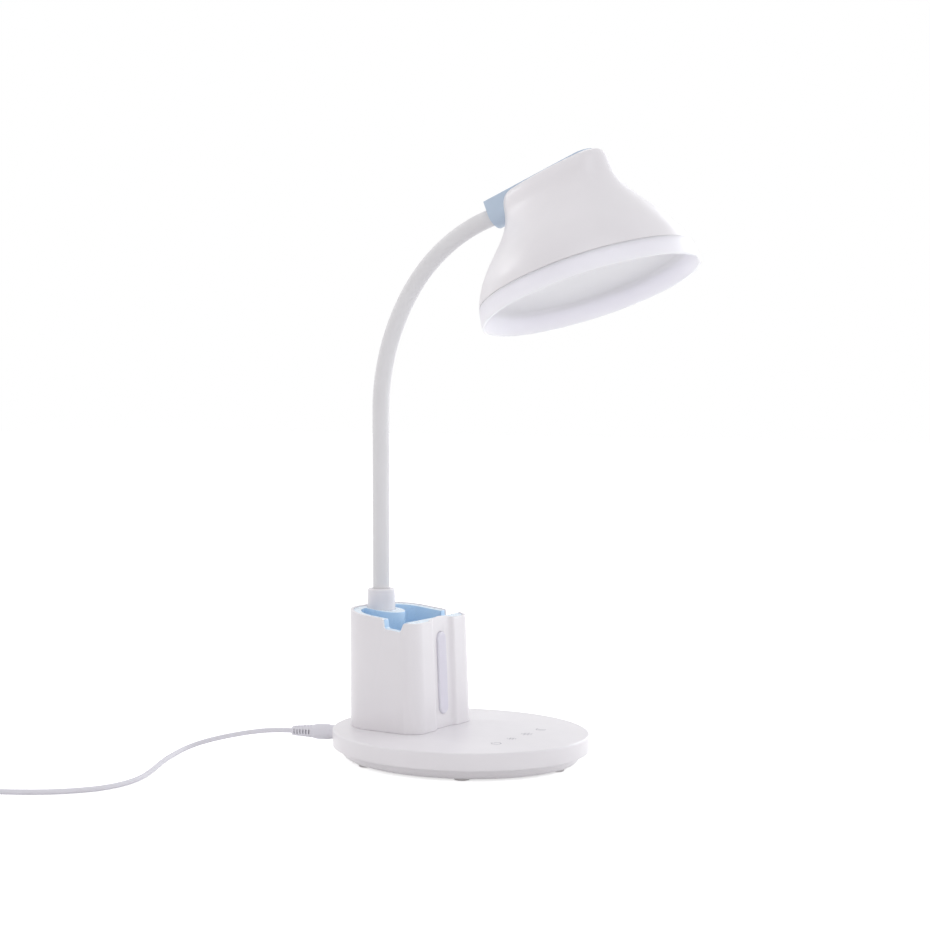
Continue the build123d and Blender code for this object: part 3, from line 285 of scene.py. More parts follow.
def moulded(name, colour, rough, grain=0.01 * MM, grain_scale=2600.0, spread=0.012, painted_sheen=None):
    """Moulded plastic: fine mould texture, faint cloudiness, uneven gloss, and, if asked, a painted sheen that
    makes upward-looking faces paler.
    """
    finish = Finish(name)
    cloud = finish.noise(38.0, detail=3.0)
    fine = finish.noise(grain_scale, rough=0.6)
    base = finish.mix(finish.even(cloud), tinted(colour, 1 - spread), tinted(colour, 1 + spread))
    # Painted sheen: faces that look upwards are made paler, in place of light reflected from above
    if painted_sheen:
        base = finish.mix(finish.clip(finish.upward(), *SHEEN_FACING), base, painted_sheen)
    gloss = finish.noise(95.0, detail=4.0, rough=0.6)
    specks = finish.clip(finish.cells(420.0), 0.02, 0.09)
    return finish.surface({
        "Base Color": finish.mix(1 - specks, base, tinted(colour, 0.965)),
        "Roughness": finish.even(gloss, rough - 0.04, rough + 0.05),
        "Normal": finish.bump(fine, grain),
        "IOR": 1.5,
    })


def plated(name, colour, rough, lines=900.0):
    """Turned or stamped metal with faint tool lines."""
    finish = Finish(name)
    along = finish.add("ShaderNodeMapping", {}, {"Vector": finish.place, "Scale": (1.0, 1.0, 14.0)})
    drawn = finish.noise(lines, detail=3.0, rough=0.6, where=along)
    stain = finish.noise(120.0, detail=3.0)
    return finish.surface({
        "Base Color": finish.mix(finish.clip(stain, 0.35, 0.75), colour, tinted(colour, 0.86)),
        "Metallic": 1.0,
        "Roughness": finish.clip(drawn, 0.25, 0.75, rough - 0.07, rough + 0.1),
        "Normal": finish.bump(drawn, 0.012 * MM),
    })


def board(name, colour, track):
    """A lacquered circuit board with tracks under the lacquer."""
    finish = Finish(name)
    grid = finish.add("ShaderNodeTexBrick", {"offset": 0.37}, {
        "Vector": finish.place, "Scale": 260.0, "Mortar Size": 0.045, "Mortar Smooth": 0.2,
    }, "Fac")
    patches = finish.noise(180.0, detail=1.0) > 0.48
    tracks = grid * patches
    return finish.surface({
        "Base Color": finish.mix(tracks, colour, track),
        "Roughness": finish.even(finish.noise(300.0), 0.24, 0.36),
        "Normal": finish.bump(tracks, 0.03 * MM),
        "Coat Weight": 0.3,
    })


def cast(name, colour):
    """Raw cast iron with a rough skin and some rust."""
    finish = Finish(name)
    coarse = finish.noise(700.0, detail=4.0, rough=0.65)
    rust = finish.clip(finish.noise(60.0, detail=4.0), 0.55, 0.8)
    return finish.surface({
        "Base Color": finish.mix(rust, colour, RUST),
        "Metallic": 0.8,
        "Roughness": finish.even(coarse, 0.5, 0.75),
        "Normal": finish.bump(coarse, 0.1 * MM),
    })


def frosted(name, colour):
    """A milky light cover with a silky skin, through which some light passes."""
    finish = Finish(name)
    fine = finish.noise(1900.0, rough=0.6)
    cloud = finish.noise(24.0)
    return finish.surface({
        "Base Color": finish.mix(finish.even(cloud), tinted(colour, 0.985), tinted(colour, 1.01)),
        "Roughness": finish.even(finish.noise(80.0, detail=3.0), 0.36, 0.44),
        "Normal": finish.bump(fine, 0.012 * MM),
        "IOR": 1.49,
        "Subsurface Weight": 0.9,
        "Subsurface Radius": (1.0, 1.0, 1.0),
        "Subsurface Scale": MILK_DEPTH,
    })


def chip_yellow(name):
    """Phosphor over a light chip, in a pale frame."""
    finish = Finish(name)
    dots = finish.clip(finish.cells(420.0), 0.2, 0.5)
    return finish.surface({
        "Base Color": finish.mix(dots, PHOSPHOR, CHIP_FRAME),
        "Roughness": finish.even(finish.noise(600.0), 0.3, 0.5),
        "Normal": finish.bump(dots, 0.04 * MM),
    })


def printed(name, colour):
    """Ink of a pad print, slightly broken at its finest scale."""
    finish = Finish(name)
    thin = finish.clip(finish.noise(2200.0), 0.62, 0.75)
    return finish.surface({
        "Base Color": finish.mix(thin, colour, tinted(colour, 2.4)),
        "Roughness": finish.even(finish.noise(900.0), 0.5, 0.62),
        "Normal": finish.bump(thin, 0.01 * MM),
    })


def woven(name, colour):
    """A narrow hook-and-loop band."""
    finish = Finish(name)
    loops = finish.cells(1500.0)
    return finish.surface({
        "Base Color": finish.mix(finish.clip(loops, 0.1, 0.6), colour, tinted(colour, 1.7)),
        "Roughness": finish.clip(loops, 0.0, 0.6, 0.75, 0.92),
        "Normal": finish.bump(loops, 0.2 * MM),
    })


MATERIALS = {}


def material(name):
    """The lamp's finish of that name, made when it is first needed."""
    if name in MATERIALS:
        return MATERIALS[name]
    colours = bpy.context.scene.lamp_colours
    recipes = {
        "white_plastic": lambda: moulded(name, tuple(colours.white), 0.34),
        "neck_sleeve_soft": lambda: moulded(
            name, tuple(colours.sleeve), 0.52, grain=0.014 * MM, grain_scale=1900.0),
        # The liner gets a painted sheen on its upward faces
        "liner_blue": lambda: moulded(name, tuple(colours.liner), 0.28, spread=0.02, painted_sheen=LINER_PAINTED_SHEEN),
        "bracket_blue": lambda: moulded(name, tuple(colours.bracket), 0.42, spread=0.02),
        "frosted_plastic": lambda: frosted(name, tuple(colours.frosted)),
        "strip_plastic": lambda: frosted(name, tuple(colours.strip)),
        "foot_rubber": lambda: moulded(
            name, tuple(colours.rubber), 0.75, grain=0.04 * MM, grain_scale=1500.0, spread=0.1),
        "steel": lambda: plated(name, (0.72, 0.72, 0.74), 0.28),
        "brass": lambda: plated(name, (0.82, 0.62, 0.28), 0.3),
        "ballast_iron": lambda: cast(name, (0.28, 0.28, 0.3)),
        "circuit_board": lambda: board(name, (0.012, 0.09, 0.04), (0.03, 0.19, 0.08)),
        "board_white": lambda: board(name, (0.8, 0.8, 0.78), (0.7, 0.7, 0.66)),
        "carrier_aluminium": lambda: plated(name, (0.8, 0.8, 0.82), 0.34, lines=500.0),
        "led_chip": lambda: chip_yellow(name),
        "black_plastic": lambda: moulded(
            name, (0.02, 0.02, 0.022), 0.45, grain=0.02 * MM, grain_scale=1800.0, spread=0.1),
        "lead_white": lambda: moulded(
            name, tuple(colours.lead), 0.46, grain=0.012 * MM, grain_scale=2400.0),
        "tie_grey": lambda: woven(name, (0.1, 0.1, 0.11)),
        "key_print": lambda: printed(name, tuple(colours.print_ink)),
    }
    MATERIALS[name] = recipes[name]()
    return MATERIALS[name]


def record_slots():
    """The material slot that the record gives to each part."""
    return {part["node"]: part["material_slot"] for part in frame["record"]["subparts"]}


# Modelling helpers


def clear_selection():
    """Leaves edit mode and deselects everything."""
    if bpy.context.object and bpy.context.object.mode != "OBJECT":
        bpy.ops.object.mode_set(mode="OBJECT")
    bpy.ops.object.select_all(action="DESELECT")


def take(piece):
    """Makes a piece the only selected and active one."""
    clear_selection()
    piece.select_set(True)
    bpy.context.view_layer.objects.active = piece


def added(name):
    """Names the primitive that was just added."""
    piece = bpy.context.object
    piece.name = name
    piece.data.name = name
    return piece


def pick(piece, kind, test):
    """In edit mode, selects the vertices or the faces that pass a test."""
    mesh = bmesh.from_edit_mesh(piece.data)
    for element in (*mesh.verts, *mesh.edges, *mesh.faces):
        element.select = False
    for element in mesh.verts if kind == "VERT" else mesh.faces:
        element.select = test(element)
    mesh.select_flush_mode()
    bmesh.update_edit_mesh(piece.data)


def apply_modifier(piece, kind, **settings):
    """Adds a modifier with its settings and applies it."""
    take(piece)
    modifier = piece.modifiers.new(kind.title(), kind)
    for name, value in settings.items():
        setattr(modifier, name, value)
    bpy.ops.object.modifier_apply(modifier=modifier.name)


def settle(piece, body, slot, *nodes, matrix=None, smooth=35.0):
    """Fixes a finished piece's place in its mesh, gives it its finish and lets it ride."""
    take(piece)
    if matrix is not None:
        piece.matrix_world = matrix @ piece.matrix_world
    bpy.ops.object.transform_apply(location=True, rotation=True, scale=True)
    if piece.type == "MESH":
        bpy.ops.object.shade_smooth_by_angle(angle=math.radians(smooth))
    piece.data.materials.clear()
    piece.data.materials.append(material(slot))
    slot in {entry["slot"] for entry in frame["record"]["materials"]}
    if body:
        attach(piece, body)
    if nodes:
        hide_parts(*nodes)
    clear_selection()


def metres(profile):
    """A profile's radii and heights, from millimetres to metres."""
    return [(radius * MM, height * MM) for radius, height in profile]


def turned(name, rows, sides):
    """A closed lathe form drawn out of a circle row by row; each row is a radius and a height."""
    clear_selection()
    radius, height = rows[0]
    bpy.ops.mesh.primitive_circle_add(vertices=sides, radius=1.0, location=(0, 0, 0))
    piece = added(name)
    bpy.ops.object.mode_set(mode="EDIT")
    bpy.ops.mesh.select_all(action="SELECT")
    bpy.ops.transform.resize(value=(radius, radius, 1), center_override=(0, 0, 0))
    bpy.ops.transform.translate(value=(0, 0, height))
    bpy.ops.mesh.edge_face_add()
    bpy.ops.mesh.select_all(action="SELECT")
    bpy.ops.mesh.select_mode(type="EDGE")
    for wider, level in rows[1:]:
        bpy.ops.mesh.extrude_edges_move(TRANSFORM_OT_translate={"value": (0, 0, level - height)})
        share = wider / radius
        bpy.ops.transform.resize(value=(share, share, 1), center_override=(0, 0, level))
        radius, height = wider, level
    bpy.ops.mesh.edge_face_add()
    bpy.ops.mesh.select_all(action="SELECT")
    bpy.ops.mesh.normals_make_consistent(inside=False)
    bpy.ops.object.mode_set(mode="OBJECT")
    return piece


def cord_line(name, points, radius, steps_along, steps_round):
    """A round cord along a smooth line that its points draw after them."""
    line = bpy.data.curves.new(name, "CURVE")
    line.dimensions = "3D"
    spline = line.splines.new("NURBS")
    spline.points.add(len(points) - 1)
    for point, place in zip(spline.points, points):
        point.co = (*place, 1)
    spline.order_u = 3
    spline.use_endpoint_u = True
    line.resolution_u = steps_along
    line.bevel_depth = radius
    line.bevel_resolution = steps_round
    line.use_fill_caps = True
    cord = bpy.data.objects.new(name, line)
    bpy.context.scene.collection.objects.link(cord)
    return cord


# The neck's middle line, from the collar up: a straight and two arcs
NECK_PLACE = 62.7 * MM
NECK_STRAIGHT = 119.9 * MM
NECK_BENDS = ((139.5 * MM, math.radians(34.0)), (115.4 * MM, math.radians(39.9)))
NECK_RADIUS = 5.6 * MM
CORE_RADIUS = 4.1 * MM
CABLE_RADIUS = 1.5 * MM
COLLAR_TOP = node_top("neck_collar")
SLEEVE_START = node_bottom("neck_sleeve") - COLLAR_TOP
CORE_START = node_bottom("neck_core_1") - COLLAR_TOP
CABLE_START = node_bottom("neck_cable") - COLLAR_TOP
# How far the sleeve, and the core with its cable, go on past the line's end
SLEEVE_PAST = 5.2 * MM
CORE_PAST = 24 * MM
# The rings' spacing along each, and the faces round the two inner ones
SLEEVE_STEP = 2.5 * MM
WINDING_STEP = 1.1 * MM
CABLE_STEP = 4 * MM
CORE_SIDES = 20
CABLE_SIDES = 12
WINDING_DEPTH = 0.25 * MM
# Smaller turns and changes of radius than this are left out
NO_TURN = 1e-6
NO_CHANGE = 1e-9
NECK_JOINTS = ("lower_bend", "middle_bend", "upper_bend", "head_tilt")
# The cable's points from the neck's end to the light board, in metres
CABLE_DROP = (
    (0, -0.0489, 0.3573),
    (0, -0.0632, 0.3615),
    (0, -0.0731, 0.3556),
    (0, -0.0885, 0.3219),
)


def neck_length():
    """The length of the neck's line above the collar."""
    return NECK_STRAIGHT + sum(radius * turn for radius, turn in NECK_BENDS)


def neck_spot(distance):
    """The point and the turn of the neck's line at a distance above the collar."""
    turn = 0.0
    y = NECK_PLACE
    z = COLLAR_TOP + min(distance, NECK_STRAIGHT)
    left = distance - NECK_STRAIGHT
    for radius, sweep in NECK_BENDS:
        if left <= 0:
            break
        step = min(left / radius, sweep)
        y -= radius * (math.cos(turn) - math.cos(turn + step))
        z += radius * (math.sin(turn + step) - math.sin(turn))
        turn += step
        left -= step * radius
    way = Vector((0, -math.sin(turn), math.cos(turn)))
    return Vector((0, y, z)) + way * max(left, 0), turn


def drawn_along(name, stops, radii, sides):
    """An open tube drawn along the neck's line: a circle, extruded, turned and resized stop by stop."""
    clear_selection()
    spot, turn = neck_spot(stops[0])
    radius = radii[0]
    bpy.ops.mesh.primitive_circle_add(vertices=sides, radius=radius, location=spot, rotation=(turn, 0, 0))
    piece = added(name)
    bpy.ops.object.mode_set(mode="EDIT")
    bpy.ops.mesh.select_all(action="SELECT")
    bpy.ops.mesh.select_mode(type="EDGE")
    for stop, wider in zip(stops[1:], radii[1:]):
        here, bend = neck_spot(stop)
        bpy.ops.mesh.extrude_edges_move(TRANSFORM_OT_translate={"value": here - spot})
        if abs(bend - turn) > NO_TURN:
            # with no window the operator turns the other way
            bpy.ops.transform.rotate(value=-(bend - turn), orient_axis="X", center_override=here)
        if abs(wider - radius) > NO_CHANGE:
            share = wider / radius
            bpy.ops.transform.resize(value=(share, share, share), center_override=here)
        spot, turn, radius = here, bend, wider
    bpy.ops.mesh.select_all(action="SELECT")
    bpy.ops.mesh.normals_make_consistent(inside=False)
    bpy.ops.object.mode_set(mode="OBJECT")
    return piece


def evenly(low, high, step):
    """Places from low to high, as near to a step apart as fits."""
    count = max(1, round((high - low) / step))
    return [low + (high - low) * number / count for number in range(count + 1)]


def neck_lengths():
    """The neck's four lengths, split midway between knuckles: each one's joint, knuckle, low and high end."""
    joints = {joint["name"]: joint for joint in frame["joints"]}
    knuckles = []
    for name in NECK_JOINTS:
        place = Vector(joints[name]["pos_m"])
        knuckles.append(min(evenly(0, neck_length(), MM), key=lambda stop: (neck_spot(stop)[0] - place).length))
    cuts = [(one + other) / 2 for one, other in zip(knuckles, knuckles[1:])]
    return list(zip((joints[name] for name in NECK_JOINTS), knuckles, [None, *cuts], [*cuts, None]))


def stops_between(low, high, first, last, step):
    """Stops along one of the neck's lengths; the outer two lengths go on to a first and a last end."""
    return evenly(first if low is None else low, last if high is None else high, step)


class LAMP_OT_neck(bpy.types.Operator):
    """Draws the flexible neck: a soft sleeve, the wound tube in it and the cable down to the light board"""

    bl_idname = "lamp.neck"
    bl_label = "Neck"

    def execute(self, context):
        sizes = context.scene.lamp_sizes
        sleeve_end = neck_length() + SLEEVE_PAST
        core_end = neck_length() + CORE_PAST
        for number, (joint, knuckle, low, high) in enumerate(neck_lengths(), start=1):
            stops = stops_between(low, high, SLEEVE_START, sleeve_end, SLEEVE_STEP)
            sleeve = drawn_along("sleeve_%d" % number, stops, [NECK_RADIUS] * len(stops), sizes.neck_sides)
            settle(sleeve, None, "neck_sleeve_soft", "neck_sleeve")
            stops = stops_between(low, high, CORE_START, core_end, WINDING_STEP)
            wound = [CORE_RADIUS - WINDING_DEPTH * (place % 2) for place in range(len(stops))]
            tube = drawn_along("wound_tube_%d" % number, stops, wound, CORE_SIDES)
            cores = ("neck_core_4", "neck_core_5") if high is None else ("neck_core_%d" % number,)
            settle(tube, None, "steel", *cores)
            stops = stops_between(low, high, CABLE_START, core_end, CABLE_STEP)
            wire = drawn_along("neck_wire_%d" % number, stops, [CABLE_RADIUS] * len(stops), CABLE_SIDES)
            settle(wire, None, "black_plastic", "neck_cable")
            start = neck_spot(knuckle - sizes.bend_reach)[0]
            end = neck_spot(knuckle + sizes.bend_reach)[0]
            for piece in (sleeve, tube, wire):
                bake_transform(piece)
        drop = cord_line("drop_wire", CABLE_DROP, CABLE_RADIUS, steps_along=12, steps_round=2)
        settle(drop, "head", "black_plastic", "neck_cable")
        return {"FINISHED"}


# The lead's way, in metres: out of the strain relief, over the table and round the coil
LEAD_ROUTE = (
    (-0.0376415, 0.1089300, 0.0130),
    (-0.0430229, 0.1218544, 0.0130),
    (-0.0495, 0.1359, 0.0110),
    (-0.0571, 0.1500, 0.0080),
    (-0.0662, 0.1608, 0.0050),
    (-0.0781, 0.1652, 0.0026),
    (-0.0946, 0.1615, 0.00165),
    (-0.1152, 0.1530, 0.00165),
    (-0.1399, 0.1395, 0.00165),
    (-0.1672, 0.1266, 0.00165),
    (-0.1942, 0.1259, 0.00165),
    (-0.2164, 0.1401, 0.00165),
    (-0.2327, 0.1617, 0.00165),
    (-0.2472327, 0.1864866, 0.00245),
)
LEAD_TAIL = (
    (-0.2488143, 0.2445570, 0.0062),
    (-0.2388776, 0.2512847, 0.0062),
    (-0.2308636, 0.2602164, 0.0051),
    (-0.2252485, 0.2708216, 0.0040),
    (-0.2223657, 0.2824702, 0.0040),
)
COIL_CENTRE = Vector((-0.2373, 0.2206, 0))
COIL_BEARING = math.radians(212.8)
COIL_TURNS = 7.25
COIL_OUTER = 26.3 * MM
COIL_STEP = 3.75 * MM
COIL_LOW = 2.45 * MM
COIL_POINTS = 16
# The part of a turn over which the coil climbs to its upper layer
CLIMB_TURNS = 0.5


def coil_points():
    """The coil's turns: inwards on the table, up one layer, and outwards again."""
    half = COIL_TURNS / 2
    swell = 1 / math.cos(math.pi / COIL_POINTS)
    points = []
    for number in range(round(COIL_TURNS * COIL_POINTS) + 1):
        turns = number / COIL_POINTS
        radius = (COIL_OUTER - COIL_STEP * (half - abs(turns - half))) * swell
        climb = min(max((turns - half) / CLIMB_TURNS + 0.5, 0), 1)
        bearing = COIL_BEARING - math.tau * turns
        place = COIL_CENTRE + Vector((math.cos(bearing), math.sin(bearing), 0)) * radius
        points.append((place.x, place.y, COIL_LOW + COIL_STEP * climb))
    return points


class LAMP_OT_lead(bpy.types.Operator):
    """Lays the power lead over the table and winds its spare length into a coil"""

    bl_idname = "lamp.lead"
    bl_label = "Power lead"

    def execute(self, context):
        clear_selection()
        points = [*LEAD_ROUTE, *coil_points(), *LEAD_TAIL]
        radius = context.scene.lamp_sizes.lead_diameter / 2
        lead = cord_line("lead", points, radius, steps_along=6, steps_round=4)
        settle(lead, "base", "lead_white", "power_lead", "lead_coil", "lead_tail")
        return {"FINISHED"}


# The power inlet's own directions: +Z out of the base, +Y up
INLET_PLACE = Vector((-26.1869, 81.4195, 13.0)) * MM
INLET_WAY = Vector((-0.384385, 0.923173, 0))
# Radius and height of each row, in millimetres
PLUG_PROFILE = (
    (4.65, -1.0), (4.68, 0.2), (4.8, 3.6), (4.86, 4.0), (5.06, 4.3), (5.14, 5.0), (5.16, 9.0), (5.12, 12.0),
    (4.98, 13.2), (4.72, 14.2), (4.5, 14.9), (4.4, 15.4),
)
RELIEF_START = 15.4 * MM
RELIEF_LENGTH = 14.4 * MM
RELIEF_ROOT = 4.35 * MM
RELIEF_TIP = 3.25 * MM
# Share of the relief's length, and how far its end is rounded off there
RELIEF_ROWS = (
    (0, 0), (0.03, 0), (0.25, 0), (0.5, 0), (0.75, 0), (0.94, 0), (0.985, 0.2 * MM), (1, 0.6 * MM),
)
RELIEF_SLITS = 6
SLIT_WIDTH = 0.8 * MM
SLIT_HALF_HEIGHT = 1.55 * MM
SLIT_FLOOR = 1.9 * MM
# Where the shallow slits from above and below end, as a share of the radius
EDGE_FLOOR = 0.82
PLUG_SIDES = 56
RELIEF_SIDES = 48
USB_PLACE = Vector((-222.366, 282.470, 4.0)) * MM
USB_WAY = Vector((0.240228, 0.970716, 0))
USB_GRIP = Vector((15.6, 8.0, 22.0)) * MM
USB_SHELL = Vector((12.0, 4.5, 14.0)) * MM
USB_WALL = 0.4 * MM
GRIP_ROUNDING = 1.5 * MM
SHELL_ROUNDING = 0.5 * MM
# The grip's grooves: how many, where the first lies and how far apart they are, as shares of the grip's
# length, and their length as a share of its width
GROOVES = 6
GROOVE_FIRST = 0.2
GROOVE_PITCH = 0.09
GROOVE_SHARE = 0.66
GROOVE_WIDTH = 0.9 * MM
# The shell's windows: their middle from the shell's, their place along it and their sizes
WINDOW_OUT = 3 * MM
WINDOW_ALONG = 0.6
WINDOW = Vector((2.2, 1.2, 2.2)) * MM


def standing(place, way):
    """The matrix of a frame with +Z along a level way and +Y upwards."""
    up = Vector((0, 0, 1))
    turn = Matrix((up.cross(way), up, way)).transposed()
    return Matrix.Translation(place) @ turn.to_4x4()


def blocks(name, boxes):
    """One mesh of separate boxes, each given by its middle and its three sizes."""
    clear_selection()
    piece = None
    for middle, size in boxes:
        bpy.ops.mesh.primitive_cube_add(size=1, location=(0, 0, 0))
        if piece is None:
            piece = added(name)
            bpy.ops.object.mode_set(mode="EDIT")
        bpy.ops.transform.resize(value=size, center_override=(0, 0, 0))
        bpy.ops.transform.translate(value=middle)
        bpy.ops.mesh.select_all(action="DESELECT")
    bpy.ops.object.mode_set(mode="OBJECT")
    return piece


def carve(piece, cutter):
    """Cuts one mesh out of another and drops the cutter."""
    apply_modifier(piece, "BOOLEAN", operation="DIFFERENCE", solver="EXACT", object=cutter)
    bpy.data.objects.remove(cutter)
    return piece


# Heights and a half width that set edges apart, in millimetres
HOLDER_RIMS = 80
HOLDER_FOOT = 21
BRACKET_HALF = 14
BRACKET_LEVEL = 350


def everywhere(spot):
    """All edges."""
    return True


def rims(spot):
    """The pen holder's rim, its notches and its foot."""
    return spot.z > HOLDER_RIMS or spot.z < HOLDER_FOOT


def off_the_bracket(spot):
    """All of the shade but the seat and the screws under the bracket."""
    return abs(spot.x) > BRACKET_HALF or spot.z < BRACKET_LEVEL


# Parts that are shown with rounded edges: part, new name, body, rounding in millimetres and which edges
MOULDINGS = (
    ("base_top_shell", "base_top", "base", 0.4, everywhere),
    ("base_bottom_cover", "base_underside", "base", 0.35, everywhere),
    ("holder_shell", "holder_wall", "base", 0.45, rims),
    ("holder_liner", "holder_pocket", "base", 0.45, rims),
    ("head_bracket", "shade_bracket", "head", 0.4, everywhere),
    ("head_shell", "shade", "head", 0.4, off_the_bracket),
    ("diffuser", "shade_cover", "head", 0.4, everywhere),
)
# An edge over SHARP is rounded, and one under FLAT is dissolved
SHARP = math.radians(38)
FLAT = math.radians(0.6)
SAME_PLACE = 0.002 * MM


def softened(name, node, width, chosen):
    """A copy of a part of the frame whose chosen sharp edges are rounded."""
    clear_selection()
    piece = bpy.data.objects.new(name, frame["nodes"][node].data.copy())
    bpy.context.scene.collection.objects.link(piece)
    take(piece)
    bpy.ops.object.mode_set(mode="EDIT")
    bpy.ops.mesh.select_all(action="SELECT")
    bpy.ops.mesh.remove_doubles(threshold=SAME_PLACE)
    bpy.ops.mesh.customdata_custom_splitnormals_clear()
    bpy.ops.mesh.select_all(action="SELECT")
    bpy.ops.mesh.dissolve_limited(angle_limit=FLAT)
    mesh = bmesh.from_edit_mesh(piece.data)
    weight = mesh.edges.layers.float.new("bevel_weight_edge")
    for edge in mesh.edges:
        middle = (edge.verts[0].co + edge.verts[1].co) / (2 * MM)
        if edge.is_manifold and edge.calc_face_angle() > SHARP and chosen(middle):
            edge[weight] = 1.0
    bmesh.update_edit_mesh(piece.data)
    bpy.ops.object.mode_set(mode="OBJECT")
    apply_modifier(piece, "BEVEL", width=width, segments=3, limit_method="WEIGHT", use_clamp_overlap=False)
    return piece


class LAMP_OT_mouldings(bpy.types.Operator):
    """Rounds the edges of the moulded shells, the liner, the bracket and the covers"""

    bl_idname = "lamp.mouldings"
    bl_label = "Mouldings"

    def execute(self, context):
        slots = record_slots()
        for node, name, body, rounding, chosen in MOULDINGS:
            piece = softened(name, node, rounding * MM, chosen)
            settle(piece, body, slots[node], node, smooth=30)
        return {"FINISHED"}


# Radius and height of each row, in millimetres
COLLAR_PROFILE = (
    (9.35, 93.1), (9.42, 95.0), (9.42, 96.5), (9.2, 104.0), (9.1, 106.6), (8.95, 107.2), (8.6, 107.6),
    (8.1, 107.75), (6.7, 107.75), (6.35, 107.6), (6.1, 107.2), (6.0, 106.2),
)
COLLAR_SIDES = 64


class LAMP_OT_collar(bpy.types.Operator):
    """Turns the collar at the neck's foot, with a narrow gap round the sleeve"""

    bl_idname = "lamp.collar"
    bl_label = "Collar"

    def execute(self, context):
        ring = turned("neck_ring", metres(COLLAR_PROFILE), COLLAR_SIDES)
        place = Matrix.Translation((0, NECK_PLACE, 0))
        settle(ring, "base", "white_plastic", "neck_collar", matrix=place, smooth=50)
        return {"FINISHED"}


class LAMP_OT_plug(bpy.types.Operator):
    """Turns the round plug and its strain relief, with slits between the relief's rings"""

    bl_idname = "lamp.plug"
    bl_label = "Plug and strain relief"

    def execute(self, context):
        inlet = standing(INLET_PLACE, INLET_WAY)
        plug = turned("plug_body", metres(PLUG_PROFILE), PLUG_SIDES)
        settle(plug, "base", "lead_white", "dc_plug", matrix=inlet, smooth=50)
        settle(self.relief(), "base", "lead_white", "strain_relief", matrix=inlet, smooth=40)
        return {"FINISHED"}

    def relief(self):
        """The tapering relief, with pairs of slits from the sides and from above and below."""
        rows = []
        for share, rounding in RELIEF_ROWS:
            radius = RELIEF_ROOT + (RELIEF_TIP - RELIEF_ROOT) * share
            rows.append((radius - rounding, RELIEF_START + RELIEF_LENGTH * share))
        sleeve = turned("ribbed_relief", rows, RELIEF_SIDES)
        pitch = RELIEF_LENGTH / (RELIEF_SLITS + 1)
        depth = RELIEF_ROOT - SLIT_FLOOR + MM
        boxes = []
        for number in range(RELIEF_SLITS):
            share = (number + 1) / (RELIEF_SLITS + 1)
            level = RELIEF_START + RELIEF_LENGTH * share
            edge = (RELIEF_ROOT + (RELIEF_TIP - RELIEF_ROOT) * share) * EDGE_FLOOR
            for side in (-1, 1):
                boxes.append((
                    (side * (SLIT_FLOOR + depth / 2), 0, level),
                    (depth, 2 * SLIT_HALF_HEIGHT, SLIT_WIDTH)))
                boxes.append((
                    (0, side * (edge + depth / 2), level - pitch / 2),
                    (2 * RELIEF_ROOT, depth, SLIT_WIDTH)))
        return carve(sleeve, blocks("slits", boxes))


class LAMP_OT_usb_plug(bpy.types.Operator):
    """Shapes the flat plug at the lead's far end: a ribbed grip and a pierced metal shell"""

    bl_idname = "lamp.usb_plug"
    bl_label = "Flat plug"

    def execute(self, context):
        place = standing(USB_PLACE, USB_WAY)
        settle(self.grip(), "base", "lead_white", "usb_plug", matrix=place, smooth=40)
        settle(self.shell(), "base", "steel", "usb_shell", matrix=place, smooth=40)
        return {"FINISHED"}

    def grip(self):
        """The plastic grip, with grooves across both flat sides."""
        grip = blocks("usb_grip", [((0, 0, USB_GRIP.z / 2), USB_GRIP)])
        apply_modifier(grip, "BEVEL", width=GRIP_ROUNDING, segments=5, limit_method="ANGLE")
        groove = (USB_GRIP.x * GROOVE_SHARE, GROOVE_WIDTH, GROOVE_WIDTH)
        grooves = []
        for number in range(GROOVES):
            level = USB_GRIP.z * (GROOVE_FIRST + GROOVE_PITCH * number)
            for side in (-1, 1):
                grooves.append(((0, side * USB_GRIP.y / 2, level), groove))
        return carve(grip, blocks("grip_grooves", grooves))

    def shell(self):
        """The metal shell: hollow from its mouth, with two windows in each flat side."""
        low = USB_GRIP.z
        shell = blocks("usb_sleeve", [((0, 0, low + USB_SHELL.z / 2), USB_SHELL)])
        apply_modifier(shell, "BEVEL", width=SHELL_ROUNDING, segments=3, limit_method="ANGLE")
        room = USB_SHELL - Vector((2, 2, 0)) * USB_WALL
        carve(shell, blocks("usb_room", [((0, 0, low + USB_WALL + room.z / 2), room)]))
        windows = []
        for side in (-1, 1):
            for face in (-1, 1):
                middle = (side * WINDOW_OUT, face * USB_SHELL.y / 2, low + USB_SHELL.z * WINDOW_ALONG)
                windows.append((middle, WINDOW))
        return carve(shell, blocks("usb_windows", windows))


PRINT_THICKNESS = 0.05 * MM
PRINT_STROKE = 0.5 * MM
SIGN_SIDES = 48
SUN_RAYS = range(0, 360, 45)
POWER_RADIUS = 3.3 * MM
POWER_GAP = 38
MOON_RADIUS = 3.4 * MM
MOON_TIP = 1.2 * MM
MOON_STROKE = 0.45 * MM
# How wide the moon's hollow is against the part of the round that it takes the place of
MOON_HOLLOW = 0.8


